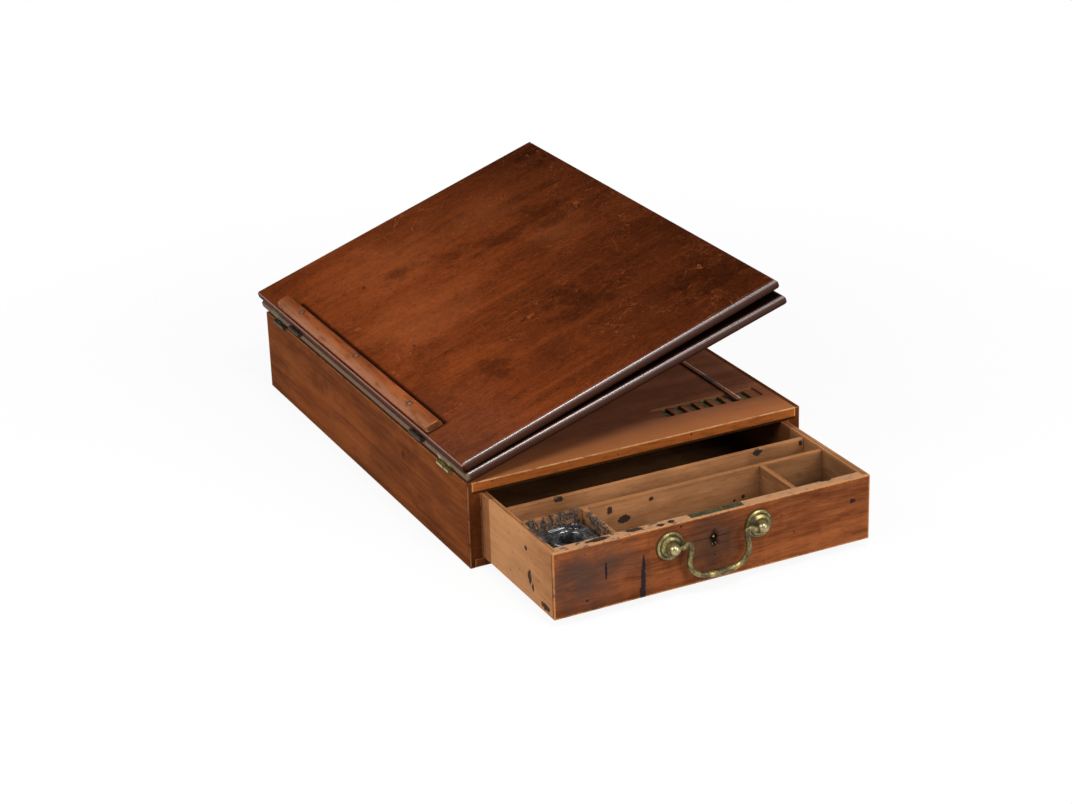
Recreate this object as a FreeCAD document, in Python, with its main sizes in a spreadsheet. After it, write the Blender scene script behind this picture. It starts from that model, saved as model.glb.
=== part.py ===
import FreeCAD
import Part
import Sketcher
import os
import re
from FreeCAD import Placement, Rotation, Vector

# A table-top writing desk with a double slope and a side drawer, in millimetres.
# The origin is the centre of the case's underside: +X runs to the drawer's side,
# -Y to the writer, where the slope is hinged, and +Z up.
# The stored pose is the photographed one: slope raised, drawer drawn part way.

SIZES = [
    ("case_length", 492.0),
    ("case_depth", 340.0),
    ("case_height", 82.5),
    ("panel_thick", 13.0),
    ("lip_thick", 4.5),
    ("top_thick", 11.0),
    ("bottom_thick", 8.3),
    ("end_thick", 13.0),
    ("stop_thick", 10.0),
    ("stop_width", 24.0),
    ("stop_height", 18.0),
    ("slide_gap", 0.35),
    ("head_gap", 0.85),
    ("drawer_open", 138.0),
    ("front_thick", 10.5),
    ("front_lap", 3.0),
    ("side_thick", 6.0),
    ("base_thick", 4.0),
    ("base_rise", 4.0),
    ("groove_deep", 3.0),
    ("back_drop", 4.0),
    ("divider_thick", 4.5),
    ("divider_drop", 1.6),
    ("pen_back_from_face", 104.0),
    ("pen_front_from_face", 73.0),
    ("ink_divider_y", -91.0),
    ("end_divider_y", 87.0),
    ("well_top_drop", 11.0),
    ("well_gap", 2.5),
    ("quill_from_left", 8.0),
    ("quill_from_divider", 11.0),
    ("well_radius", 12.0),
    ("well_rim", 2.0),
    ("well_deep", 30.0),
    ("quill_radius", 5.0),
    ("quill_deep", 14.0),
    ("glass_round", 4.0),
    ("lock_y", 3.75),
    ("lock_width", 52.5),
    ("lock_thick", 7.2),
    ("lock_set_back", 2.5),
    ("lock_height", 32.0),
    ("selvedge_thick", 2.0),
    ("bolt_width", 16.0),
    ("bolt_thick", 3.4),
    ("bolt_height", 14.0),
    ("bolt_gap", 0.3),
    ("bolt_throw", 6.0),
    ("keep_gap", 1.2),
    ("key_y", -1.75),
    ("key_z", 49.0),
    ("key_radius", 2.7),
    ("key_slot_width", 2.8),
    ("key_slot_drop", 9.0),
    ("key_pin_radius", 0.9),
    ("rose_radius", 13.2),
    ("rose_z", 51.3),
    ("rose_spacing", 87.5),
    ("post_reach", 9.0),
    ("post_radius", 3.0),
    ("ball_radius", 5.2),
    ("ball_seat_gap", 0.1),
    ("nut_radius", 6.0),
    ("nut_thick", 3.0),
    ("bail_pin_radius", 1.6),
    ("bail_pin_depth", 2.0),
    ("bail_pin_gap", 0.08),
    ("bail_radius", 2.2),
    ("bail_swell", 1.3),
    ("bail_drop", 36.0),
    ("leaf_width", 501.5),
    ("leaf_thick", 10.8),
    ("leaf_round", 4.2),
    ("lower_leaf_depth", 340.0),
    ("upper_leaf_depth", 337.5),
    ("slope_angle", 17.84),
    ("reading_angle", 1.19),
    ("axis_out", 1.8),
    ("axis_rise", 0.3),
    ("leaf_lift", 0.5),
    ("hinge_spread", 404.0),
    ("upper_hinge_spread", 300.0),
    ("hinge_length", 26.0),
    ("barrel_radius", 2.2),
    ("pin_radius", 0.9),
    ("pin_gap", 0.05),
    ("knuckle_gap", 0.35),
    ("plate_thick", 1.2),
    ("plate_width", 12.0),
    ("edge_plate_height", 7.0),
    ("edge_screw_length", 4.0),
    ("screw_head_radius", 1.9),
    ("screw_radius", 0.9),
    ("screw_length", 6.5),
    ("screw_from_middle", 8.125),
    ("screw_set_in", 7.44),
    ("leaf_screw_set_in", 6.6),
    ("edge_screw_rise", 4.62),
    ("prop_reach", 175.0),
    ("prop_length", 141.0),
    ("prop_drop", 2.0),
    ("prop_thick", 4.0),
    ("prop_width", 196.0),
    ("prop_hinge_spread", 140.0),
    ("prop_screw_length", 2.3),
    ("foot_radius", 4.0),
    ("foot_gap", 0.5),
    ("toe_set_in", 1.0),
    ("toe_radius", 5.6),
    ("toe_length", 18.0),
    ("rack_x", 195.0),
    ("rack_width", 22.0),
    ("rack_drop", 1.8),
    ("rack_first_y", 53.0),
    ("rack_pitch", 13.7),
    ("rack_deep", 3.2),
    ("rack_teeth", 7),
    ("reading_reach", 190.0),
    ("reading_length", 130.0),
    ("reading_drop", 2.2),
    ("reading_thick", 3.0),
    ("reading_width", 196.0),
    ("reading_foot_radius", 2.5),
    ("reading_foot_gap", 0.7),
    ("reading_well_deep", 4.0),
    ("reading_well_margin", 3.0),
    ("reading_notch_pitch", 9.0),
    ("reading_notch_deep", 1.5),
    ("reading_notches", 6),
    ("ledge_left", -194.0),
    ("ledge_right", 176.0),
    ("ledge_set_back", 2.6),
    ("ledge_width", 16.0),
    ("ledge_height", 6.8),
    ("ledge_round", 2.6),
    ("ledge_pin_radius", 2.0),
    ("ledge_pin_length", 9.0),
    ("ledge_pin_set_back", 9.6),
    ("ledge_cant", 21.0),
    ("cut_over", 1.0),
]

# Lengths that follow from the sizes above.
DERIVED = {
    "half_length": "case_length / 2",
    "half_depth": "case_depth / 2",
    "panel_inner": "half_depth - panel_thick",
    "rebate_y": "half_depth - lip_thick",
    "top_under": "case_height - top_thick",
    "end_inner": "end_thick - half_length",
    "drawer_half": "panel_inner - slide_gap",
    "drawer_base": "bottom_thick + slide_gap",
    "drawer_top": "top_under - head_gap",
    "drawer_face": "half_length + drawer_open",
    "front_inner": "drawer_face - front_thick",
    "drawer_rear": "end_inner + stop_thick + slide_gap + drawer_open",
    "side_inner": "drawer_half - side_thick",
    "floor_under": "drawer_base + base_rise",
    "floor_top": "floor_under + base_thick",
    "divider_top": "drawer_top - divider_drop",
    "pen_back": "drawer_face - pen_back_from_face",
    "pen_front": "drawer_face - pen_front_from_face",
    "ink_left": "pen_front + divider_thick",
    "well_top": "drawer_top - well_top_drop",
    "lock_face": "drawer_face - lock_set_back",
    "lock_x": "lock_face - lock_thick / 2",
    "bail_x": "drawer_face + post_reach",
    "leaf_half": "leaf_width / 2",
    "axis_y": "-half_depth - axis_out",
    "axis_z": "case_height + axis_rise",
    "leaf_top": "leaf_lift + leaf_thick",
    "stack": "leaf_top + axis_rise",
    "upper_y": "axis_y - stack * sin(slope_angle)",
    "upper_z": "axis_z + stack * cos(slope_angle)",
    "upper_angle": "slope_angle + reading_angle",
    "upper_top": "axis_rise + leaf_thick",
    "prop_y": "axis_y + prop_reach * cos(slope_angle) + prop_drop * sin(slope_angle)",
    "prop_z": "axis_z + prop_reach * sin(slope_angle) - prop_drop * cos(slope_angle)",
    "foot_half": "rack_x + toe_length / 2 + toe_set_in",
    "foot_z": "case_height + foot_radius + foot_gap",
    "prop_angle": "-asin((prop_z - foot_z) / prop_length) / 1deg",
    "well_floor": "leaf_top - reading_well_deep",
    "reading_foot_w": "-axis_rise - reading_well_deep + reading_foot_radius + reading_foot_gap",
    "reading_pivot_w": "reading_reach * sin(reading_angle) - reading_drop * cos(reading_angle)",
    "reading_lean": "asin((reading_pivot_w - reading_foot_w) / reading_length) / 1deg",
    "reading_prop_angle": "slope_angle - reading_lean",
    "reading_y": "upper_y + reading_reach * cos(upper_angle) + reading_drop * sin(upper_angle)",
    "reading_z": "upper_z + reading_reach * sin(upper_angle) - reading_drop * cos(upper_angle)",
    "knuckle": "hinge_length / 3",
}

# Each frame is a point and a turn about X, in which a moving group is drawn flat.
FRAMES = {
    "case": ("0", "0", None),
    "lower": ("axis_y", "axis_z", "slope_angle"),
    "upper": ("upper_y", "upper_z", "upper_angle"),
    "prop": ("prop_y", "prop_z", "prop_angle"),
    "reading": ("reading_y", "reading_z", "reading_prop_angle"),
}

doc = FreeCAD.newDocument("writing_desk")
sheet = doc.addObject("Spreadsheet::Sheet", "dims")
for row, (alias, number) in enumerate(SIZES, start=1):
    sheet.set(f"A{row}", alias)
    sheet.set(f"B{row}", str(number))
    sheet.setAlias(f"B{row}", alias)
doc.recompute()

ALIASES = {alias for alias, number in SIZES}
pieces = []


def bound(text):
    """Writes an expression whose names are read from the sheet or worked out from it."""
    def swap(match):
        word = match.group()
        if word in DERIVED:
            return f"({bound(DERIVED[word])})"
        return f"dims.{word}" if word in ALIASES else word
    return re.sub(r"[a-z_]+", swap, str(text))


def value(text):
    """Works an expression out to a number."""
    result = sheet.evalExpression(bound(text))
    return float(getattr(result, "Value", result))


def box(name, x, y, z):
    """Makes a box from its low and high ends on each axis."""
    solid = doc.addObject("Part::Box", name)
    for size, axis, (low, high) in zip(("Length", "Width", "Height"), "xyz", (x, y, z)):
        solid.setExpression(size, bound(f"({high}) - ({low})"))
        solid.setExpression(f"Placement.Base.{axis}", bound(low))
    return solid


def rod(name, axis, radius, start, length):
    """Makes a cylinder along an axis from the centre of its first end."""
    solid = doc.addObject("Part::Cylinder", name)
    turn = {"x": Rotation(Vector(0, 1, 0), 90), "y": Rotation(Vector(1, 0, 0), -90), "z": Rotation()}
    solid.Placement = Placement(Vector(), turn[axis])
    solid.setExpression("Radius", bound(radius))
    solid.setExpression("Height", bound(length))
    for direction, place in zip("xyz", start):
        solid.setExpression(f"Placement.Base.{direction}", bound(place))
    return solid


def ball(name, radius, centre):
    """Makes a sphere."""
    solid = doc.addObject("Part::Sphere", name)
    solid.setExpression("Radius", bound(radius))
    for direction, place in zip("xyz", centre):
        solid.setExpression(f"Placement.Base.{direction}", bound(place))
    return solid


def fuse(name, solids):
    """Joins solids into one; those that don't meet stay separate solids of one node."""
    joined = doc.addObject("Part::MultiFuse", name)
    joined.Shapes = solids
    joined.Refine = True
    return joined


def cut(name, base, tools):
    """Takes tools away from a base."""
    result = doc.addObject("Part::Cut", name)
    result.Base = base
    result.Tool = tools[0] if len(tools) == 1 else fuse(f"{name}_tools", tools)
    result.Refine = True
    return result


def group(name, solids):
    """Holds separate like solids in one node."""
    compound = doc.addObject("Part::Compound", name)
    compound.Links = solids
    return compound


def piece(label, solid, frame="case"):
    """Names a finished sub-part and puts it in its frame."""
    solid.Label = label
    along, up, turn = FRAMES[frame]
    if turn:
        solid.Placement = Placement(Vector(), Rotation(Vector(1, 0, 0), value(turn)))
        solid.setExpression("Placement.Base.y", bound(along))
        solid.setExpression("Placement.Base.z", bound(up))
        solid.setExpression("Placement.Rotation.Angle", bound(turn))
    pieces.append(solid)
    return solid


def sketch_on(body, role, points):
    """Draws a closed outline of straight lines on an origin plane, each corner held by the sheet."""
    plane = next(item for item in body.Origin.OriginFeatures if item.Role == role)
    sketch = body.newObject("Sketcher::SketchObject", f"{body.Name}_outline")
    sketch.AttachmentSupport = (plane, "")
    sketch.MapMode = "FlatFace"
    corners = [Vector(value(u), value(v), 0) for u, v in points]
    count = len(corners)
    for index in range(count):
        sketch.addGeometry(Part.LineSegment(corners[index], corners[(index + 1) % count]))
    for index in range(count):
        sketch.addConstraint(Sketcher.Constraint("Coincident", index, 2, (index + 1) % count, 1))
    for index, (u, v) in enumerate(points):
        for kind, text, number in (("DistanceX", u, corners[index].x), ("DistanceY", v, corners[index].y)):
            held = sketch.addConstraint(Sketcher.Constraint(kind, -1, 1, index, 1, number))
            sketch.setExpression(f"Constraints[{held}]", bound(text))
    return sketch


def extrusion(name, role, points, start, length):
    """Pads an outline: along X from the YZ plane or along Z from the XY plane."""
    body = doc.addObject("PartDesign::Body", name)
    sketch = sketch_on(body, role, points)
    pad = body.newObject("PartDesign::Pad", f"{name}_pad")
    pad.Profile = sketch
    pad.setExpression("Length", bound(length))
    direction = "x" if role == "YZ_Plane" else "z"
    body.setExpression(f"Placement.Base.{direction}", bound(start))
    doc.recompute()
    return body


def rounded(body, radius, chosen):
    """Rounds the edges of a body's last feature that a test picks out."""
    last = body.Tip
    names = [f"Edge{i}" for i, edge in enumerate(last.Shape.Edges, start=1) if chosen(edge)]
    fillet = body.newObject("PartDesign::Fillet", f"{body.Name}_round")
    fillet.Base = (last, names)
    fillet.setExpression("Radius", bound(radius))
    body.Tip = fillet
    doc.recompute()
    return body


def turned(name, points, base):
    """Turns a half outline of (radius, height) about an upright axis, then lays the axis along X."""
    body = doc.addObject("PartDesign::Body", name)
    sketch = sketch_on(body, "XZ_Plane", points)
    spin = body.newObject("PartDesign::Revolution", f"{name}_spin")
    spin.Profile = sketch
    spin.ReferenceAxis = (sketch, ["V_Axis"])
    spin.Angle = 360
    body.Placement = Placement(Vector(), Rotation(Vector(0, 1, 0), 90))
    for direction, place in zip("xyz", base):
        body.setExpression(f"Placement.Base.{direction}", bound(place))
    doc.recompute()
    return body


def solid_feature(name, shape):
    """Keeps a shape made from the sheet's values by Part's own functions."""
    feature = doc.addObject("Part::Feature", name)
    feature.Shape = shape
    return feature


def prism(name, outline, x_low, x_high):
    """Extrudes an outline of (y, z) numbers along X."""
    corners = [Vector(x_low, y, z) for y, z in outline]
    wire = Part.makePolygon(corners + [corners[0]])
    return solid_feature(name, Part.Face(wire).extrude(Vector(x_high - x_low, 0, 0)))


HINGE_X = ("-hinge_spread / 2", "hinge_spread / 2")
UPPER_HINGE_X = ("-upper_hinge_spread / 2", "upper_hinge_spread / 2")
PROP_HINGE_X = ("-prop_hinge_spread / 2", "prop_hinge_spread / 2")
OUTER_KNUCKLES = (("0", "knuckle"), ("2 * knuckle", "hinge_length"))
MIDDLE_KNUCKLE = (("knuckle + knuckle_gap", "2 * knuckle - knuckle_gap"),)
BARREL_CLEAR = "barrel_radius + knuckle_gap"
SCREW_TURN = {"up": 0, "down": 180, "in": -90}


def screw_set(name, centres, y, z, way, length):
    """Makes two countersunk screws in each hinge plate: heads flush at y, z, points up, down or in (+Y)."""
    screws = []
    for index, (centre, sign) in enumerate((c, s) for c in centres for s in ("-", "+")):
        x = f"{centre} {sign} screw_from_middle"
        head = doc.addObject("Part::Cone", f"{name}_head_{index}")
        head.setExpression("Radius1", bound("screw_head_radius"))
        head.setExpression("Radius2", bound("screw_radius"))
        head.setExpression("Height", bound("plate_thick"))
        head.Placement = Placement(Vector(), Rotation(Vector(1, 0, 0), SCREW_TURN[way]))
        for direction, place in zip("xyz", (x, y, z)):
            head.setExpression(f"Placement.Base.{direction}", bound(place))
        starts = {"up": (x, y, f"{z} + plate_thick"), "down": (x, y, f"{z} - ({length})"),
                  "in": (x, f"{y} + plate_thick", z)}
        axis = "y" if way == "in" else "z"
        shank = rod(f"{name}_shank_{index}", axis, "screw_radius", starts[way], f"{length} - plate_thick")
        screws.append(fuse(f"{name}_{index}", [head, shank]))
    return screws


def hinge_half(name, centres, places, axis, bore, plate, tab, screws):
    """Makes like hinge halves: plates, and tabs that carry the knuckles on the pin's axis at (y, z)."""
    solids = []
    bores = []
    for index, centre in enumerate(centres):
        first = f"{centre} - hinge_length / 2"
        solids.append(box(f"{name}_plate_{index}", (first, f"{first} + hinge_length"), *plate))
        for number, (low, high) in enumerate(places):
            start = f"{first} + {low}"
            length = f"({high}) - ({low})"
            mark = f"{index}_{number}"
            solids.append(rod(f"{name}_barrel_{mark}", "x", "barrel_radius", (start, *axis), length))
            solids.append(box(f"{name}_tab_{mark}", (start, f"{first} + {high}"), *tab))
            bores.append(rod(f"{name}_bore_{mark}", "x", bore, (start, *axis), length))
    return cut(name, fuse(f"{name}_solid", solids), bores + screws)


def hinge_pins(name, centres, y, z):
    """Makes the pins of like hinges."""
    pins = [rod(f"{name}_{index}", "x", "pin_radius", (f"{centre} - hinge_length / 2", y, z), "hinge_length")
            for index, centre in enumerate(centres)]
    return group(name, pins)


def barrel_room(name, centres, y, z):
    """Makes the cutters that keep wood clear of hinge barrels."""
    length = "hinge_length + 2 * knuckle_gap"
    return [rod(f"{name}_{index}", "x", BARREL_CLEAR, (f"{c} - hinge_length / 2 - knuckle_gap", y, z), length)
            for index, c in enumerate(centres)]


def plate_room(name, centres, y, z):
    """Makes the cutters of the shallow recesses that hinge plates lie in."""
    return [box(f"{name}_{index}", (f"{c} - hinge_length / 2", f"{c} + hinge_length / 2"), y, z)
            for index, c in enumerate(centres)]


def flat_half(label, centres, places, axis, bore, gap, above, frame):
    """Makes hinge halves with plates flat in a board above or below the pin; returns the board's cutters."""
    y, z = axis
    low = f"{z} + {gap}" if above else f"{z} - {gap} - plate_thick"
    heights = (low, f"{low} + plate_thick")
    flush = heights[0] if above else heights[1]
    depth = (f"{y} + {BARREL_CLEAR}", f"{y} + plate_width")
    way = "up" if above else "down"
    screws = screw_set(f"{label}_screw", centres, f"{y} + screw_set_in", flush, way, "screw_length")
    tab = ((y, depth[0]), heights)
    half = hinge_half(f"{label}_half", centres, places, axis, bore, (depth, heights), tab, screws)
    piece(f"{label}_plates", half, frame)
    piece(f"{label}_screws", group(f"{label}_screws", screws), frame)
    cutters = plate_room(f"{label}_room", centres, (y, depth[1]), heights)
    return cutters + barrel_room(f"{label}_clear", centres, y, z) + screws


def slope_hinges():
    """Makes the hinges on the case's front arris; the moving plates lie on the lower leaf's front edge."""
    axis = ("axis_y", "axis_z")
    case_cut = flat_half("slope_hinge_case", HINGE_X, OUTER_KNUCKLES, axis, "pin_radius", "axis_rise", False,
                         "case")
    piece("slope_hinge_pins", hinge_pins("slope_hinge_pin", HINGE_X, *axis))
    edge = ("axis_out", "axis_out + plate_thick")
    heights = (BARREL_CLEAR, "leaf_lift + edge_plate_height")
    screws = screw_set("slope_edge_screw", HINGE_X, edge[0], "leaf_lift + edge_screw_rise", "in",
                       "edge_screw_length")
    tab = (("0", edge[1]), ("leaf_lift", f"{BARREL_CLEAR} + plate_thick"))
    half = hinge_half("slope_edge_half", HINGE_X, MIDDLE_KNUCKLE, ("0", "0"), "pin_radius + pin_gap",
                      (edge, heights), tab, screws)
    piece("slope_hinge_leaf_plates", half, "lower")
    piece("slope_hinge_leaf_screws", group("slope_edge_screws", screws), "lower")
    leaf_cut = plate_room("slope_edge_room", HINGE_X, ("0", edge[1]), ("0", heights[1]))
    return case_cut, leaf_cut + barrel_room("slope_edge_clear", HINGE_X, "0", "0") + screws


def leaf_hinges():
    """Makes the hinges between the two leaves, at their front edges."""
    lower_cut = flat_half("leaf_hinge_lower", UPPER_HINGE_X, OUTER_KNUCKLES, ("0", "stack"), "pin_radius",
                          "axis_rise", False, "lower")
    piece("leaf_hinge_pins", hinge_pins("leaf_hinge_pin", UPPER_HINGE_X, "0", "stack"), "lower")
    upper_cut = flat_half("leaf_hinge_upper", UPPER_HINGE_X, MIDDLE_KNUCKLE, ("0", "0"),
                          "pin_radius + pin_gap", "axis_rise", True, "upper")
    return lower_cut, upper_cut


def prop(label, reach, drop, under, length, thick, width, foot, frame, leaf_frame):
    """Makes a hinged prop under a leaf: board, foot bar and hinges; returns the leaf's cutters."""
    axis = (reach, f"-{drop}")
    plate = ((f"{reach} - plate_width", f"{reach} + pin_radius"), (under, f"{under} + plate_thick"))
    tab = ((f"{reach} - pin_radius", f"{reach} + pin_radius"), (f"-{drop}", under))
    leaf_screws = screw_set(f"{label}_leaf_screw", PROP_HINGE_X, f"{reach} - leaf_screw_set_in", under, "up",
                            "edge_screw_length")
    half = hinge_half(f"{label}_leaf_half", PROP_HINGE_X, OUTER_KNUCKLES, axis, "pin_radius", plate, tab,
                      leaf_screws)
    piece(f"{label}_hinge_leaf_plates", half, leaf_frame)
    piece(f"{label}_hinge_pins", hinge_pins(f"{label}_pin", PROP_HINGE_X, *axis), leaf_frame)
    piece(f"{label}_hinge_leaf_screws", group(f"{label}_leaf_screws", leaf_screws), leaf_frame)
    heights = (f"-{thick} / 2", f"-{thick} / 2 + plate_thick")
    depth = (BARREL_CLEAR, "plate_width")
    board_screws = screw_set(f"{label}_board_screw", PROP_HINGE_X, "screw_set_in", heights[0], "up",
                             "prop_screw_length")
    half = hinge_half(f"{label}_board_half", PROP_HINGE_X, MIDDLE_KNUCKLE, ("0", "0"), "pin_radius + pin_gap",
                      (depth, heights), (("0", depth[0]), heights), board_screws)
    piece(f"{label}_hinge_plates", half, frame)
    piece(f"{label}_hinge_screws", group(f"{label}_board_screws", board_screws), frame)
    blank = box(f"{label}_blank", (f"-{width} / 2", f"{width} / 2"), (BARREL_CLEAR, length),
                (f"-{thick} / 2", f"{thick} / 2"))
    room = plate_room(f"{label}_room", PROP_HINGE_X, (BARREL_CLEAR, depth[1]), heights)
    piece(f"{label}_board", cut(f"{label}_board", blank, room + board_screws + [foot]), frame)
    return plate_room(f"{label}_leaf_room", PROP_HINGE_X, *plate) + leaf_screws


def slope_prop():
    """Makes the prop under the lower leaf, whose long foot bar ends in toes above the racks."""
    bar = rod("slope_prop_bar", "x", "foot_radius", ("-foot_half", "prop_length", "0"), "2 * foot_half")
    toes = [rod(f"slope_prop_toe_{index}", "x", "toe_radius",
                (f"{sign} rack_x - toe_length / 2", "prop_length", "0"), "toe_length")
            for index, sign in enumerate(("-", "+"))]
    cutters = prop("slope_prop", "prop_reach", "prop_drop", "leaf_lift", "prop_length", "prop_thick",
                   "prop_width", bar, "prop", "lower")
    piece("slope_prop_foot", fuse("slope_prop_foot", [bar] + toes), "prop")
    return cutters


def reading_prop():
    """Makes the thinner prop under the upper leaf, which folds into a well in the lower leaf."""
    bar = rod("reading_prop_bar", "x", "reading_foot_radius", ("-reading_width / 2", "reading_length", "0"),
              "reading_width")
    cutters = prop("reading_prop", "reading_reach", "reading_drop", "axis_rise", "reading_length",
                   "reading_thick", "reading_width", bar, "reading", "upper")
    piece("reading_prop_foot", group("reading_prop_foot", [bar]), "reading")
    return cutters


def saw_cutter(name, first, pitch, teeth, top, crest, deep, x_low, x_high):
    """Makes the cutter of a rack: a lowered strip with ramped notches, each with an upright back wall."""
    start = value(first)
    step = value(pitch)
    level = value(crest)
    floor = level - value(deep)
    outline = [(start - step / 2, value(top)), (start - step / 2, level)]
    for tooth in range(int(value(teeth))):
        back = start + (tooth + 1) * step
        outline += [(back - step, level), (back - step / 4, floor), (back - step / 4, level)]
    end = start + value(teeth) * step + step / 2
    outline += [(end, level), (end, value(top))]
    return prism(name, outline, value(x_low), value(x_high))


def wall_outline(side):
    """Gives the section of a long case wall, rebated inside for the top and bottom boards."""
    section = [("half_depth", "0"), ("rebate_y", "0"), ("rebate_y", "bottom_thick"),
               ("panel_inner", "bottom_thick"), ("panel_inner", "top_under"), ("rebate_y", "top_under"),
               ("rebate_y", "case_height"), ("half_depth", "case_height")]
    return [(f"{side}{y}", z) for y, z in section]


def case(hinge_cut):
    """Makes the case: two rebated walls, the left end, top, bottom and drawer stops."""
    front = extrusion("front_wall", "YZ_Plane", wall_outline("-"), "-half_length", "case_length")
    piece("case_front_panel", cut("case_front_panel", front, hinge_cut))
    back = extrusion("back_wall", "YZ_Plane", wall_outline(""), "-half_length", "case_length")
    piece("case_back_panel", back)
    end = [("rebate_y", "0"), ("rebate_y", "bottom_thick"), ("panel_inner", "bottom_thick"),
           ("panel_inner", "top_under"), ("rebate_y", "top_under"), ("rebate_y", "case_height")]
    end += [(f"-{y}", z) for y, z in reversed(end)]
    piece("case_left_end", extrusion("left_end", "YZ_Plane", end, "-half_length", "end_thick"))
    piece("case_bottom", box("case_bottom", ("end_inner", "half_length"), ("-rebate_y", "rebate_y"),
                             ("0", "bottom_thick")))
    board = box("top_board", ("end_inner", "half_length"), ("-rebate_y", "rebate_y"),
                ("top_under", "case_height"))
    racks = [saw_cutter(f"rack_{name}", "rack_first_y", "rack_pitch", "rack_teeth", "case_height + cut_over",
                        "case_height - rack_drop", "rack_deep", f"{sign} rack_x - rack_width / 2",
                        f"{sign} rack_x + rack_width / 2") for name, sign in (("left", "-"), ("right", "+"))]
    keep = box("bolt_mortise", ("lock_x - drawer_open - bolt_thick", "lock_x - drawer_open + bolt_thick"),
               ("lock_y - bolt_width / 2 - keep_gap", "lock_y + bolt_width / 2 + keep_gap"),
               ("top_under", "drawer_top + bolt_throw + keep_gap"))
    piece("case_top", cut("case_top", board, hinge_cut + racks + [keep]))
    stops = [box(f"drawer_stop_{index}", ("end_inner", "end_inner + stop_thick"),
                 (f"{sign} panel_inner / 2 - stop_width / 2", f"{sign} panel_inner / 2 + stop_width / 2"),
                 ("bottom_thick", "bottom_thick + stop_height")) for index, sign in enumerate(("-", "+"))]
    piece("drawer_stops", group("drawer_stops", stops))


def leaf(name, depth, low):
    """Makes a leaf's board, drawn flat from the hinge's axis, with rounded long and short edges."""
    outline = [("-leaf_half", "axis_out"), ("leaf_half", "axis_out"), ("leaf_half", f"axis_out + {depth}"),
               ("-leaf_half", f"axis_out + {depth}")]
    body = extrusion(name, "XY_Plane", outline, low, "leaf_thick")
    return rounded(body, "leaf_round", lambda edge: abs(edge.tangentAt(edge.FirstParameter).z) < 0.5)


def lower_leaf(cutters):
    """Makes the lower leaf, with the well and notches of the reading prop in its top."""
    half = "reading_width / 2 + reading_well_margin"
    well = box("reading_well", (f"-({half})", half), ("reading_reach - plate_width",
               "reading_reach + reading_length + reading_foot_radius + reading_well_margin"),
               ("well_floor", "leaf_top + cut_over"))
    first = "reading_reach + reading_length - reading_notches * reading_notch_pitch"
    notches = saw_cutter("reading_notch", first, "reading_notch_pitch", "reading_notches",
                         "well_floor + cut_over", "well_floor", "reading_notch_deep", "-reading_width / 2",
                         "reading_width / 2")
    board = leaf("lower_board", "lower_leaf_depth", "leaf_lift")
    piece("lower_leaf", cut("lower_leaf", board, cutters + [well, notches]), "lower")


LEDGE_PIN_SHARES = (0.08, 0.46, 0.83)


def upper_leaf(cutters):
    """Makes the upper leaf and its book ledge, canted at its far end and held by three brass pins."""
    shanks = []
    length = "(ledge_right - ledge_left)"
    for index, share in enumerate(LEDGE_PIN_SHARES):
        x = f"ledge_left + {length} * {share}"
        start = "upper_top + ledge_height - ledge_pin_length"
        shanks.append(rod(f"ledge_pin_{index}", "z", "ledge_pin_radius",
                          (x, "axis_out + ledge_set_back + ledge_pin_set_back", start), "ledge_pin_length"))
    board = leaf("upper_board", "upper_leaf_depth", "axis_rise")
    piece("upper_leaf", cut("upper_leaf", board, cutters + shanks), "upper")
    front = "axis_out + ledge_set_back"
    section = [(front, "upper_top"), (f"{front} + ledge_width", "upper_top"),
               (f"{front} + ledge_width", "upper_top + ledge_height"), (front, "upper_top + ledge_height")]
    strip = extrusion("ledge_strip", "YZ_Plane", section, "ledge_left", length)
    top = value("upper_top + ledge_height")
    rounded(strip, "ledge_round", lambda edge: edge.BoundBox.ZMin > top - 0.01 and edge.BoundBox.YLength < 1)
    corner = [("ledge_left", front), ("ledge_left + ledge_cant", f"{front} + ledge_width"),
              ("ledge_left", f"{front} + ledge_width")]
    waste = extrusion("ledge_waste", "XY_Plane", corner, "upper_top", "ledge_height")
    piece("book_ledge", cut("book_ledge", strip, shanks + [waste]), "upper")
    piece("ledge_pins", group("ledge_pins", shanks), "upper")


SIDE_SPANS = (("-drawer_half", "-side_inner"), ("side_inner", "drawer_half"))
LOCK_SPAN = ("lock_y - lock_width / 2", "lock_y + lock_width / 2")


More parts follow.
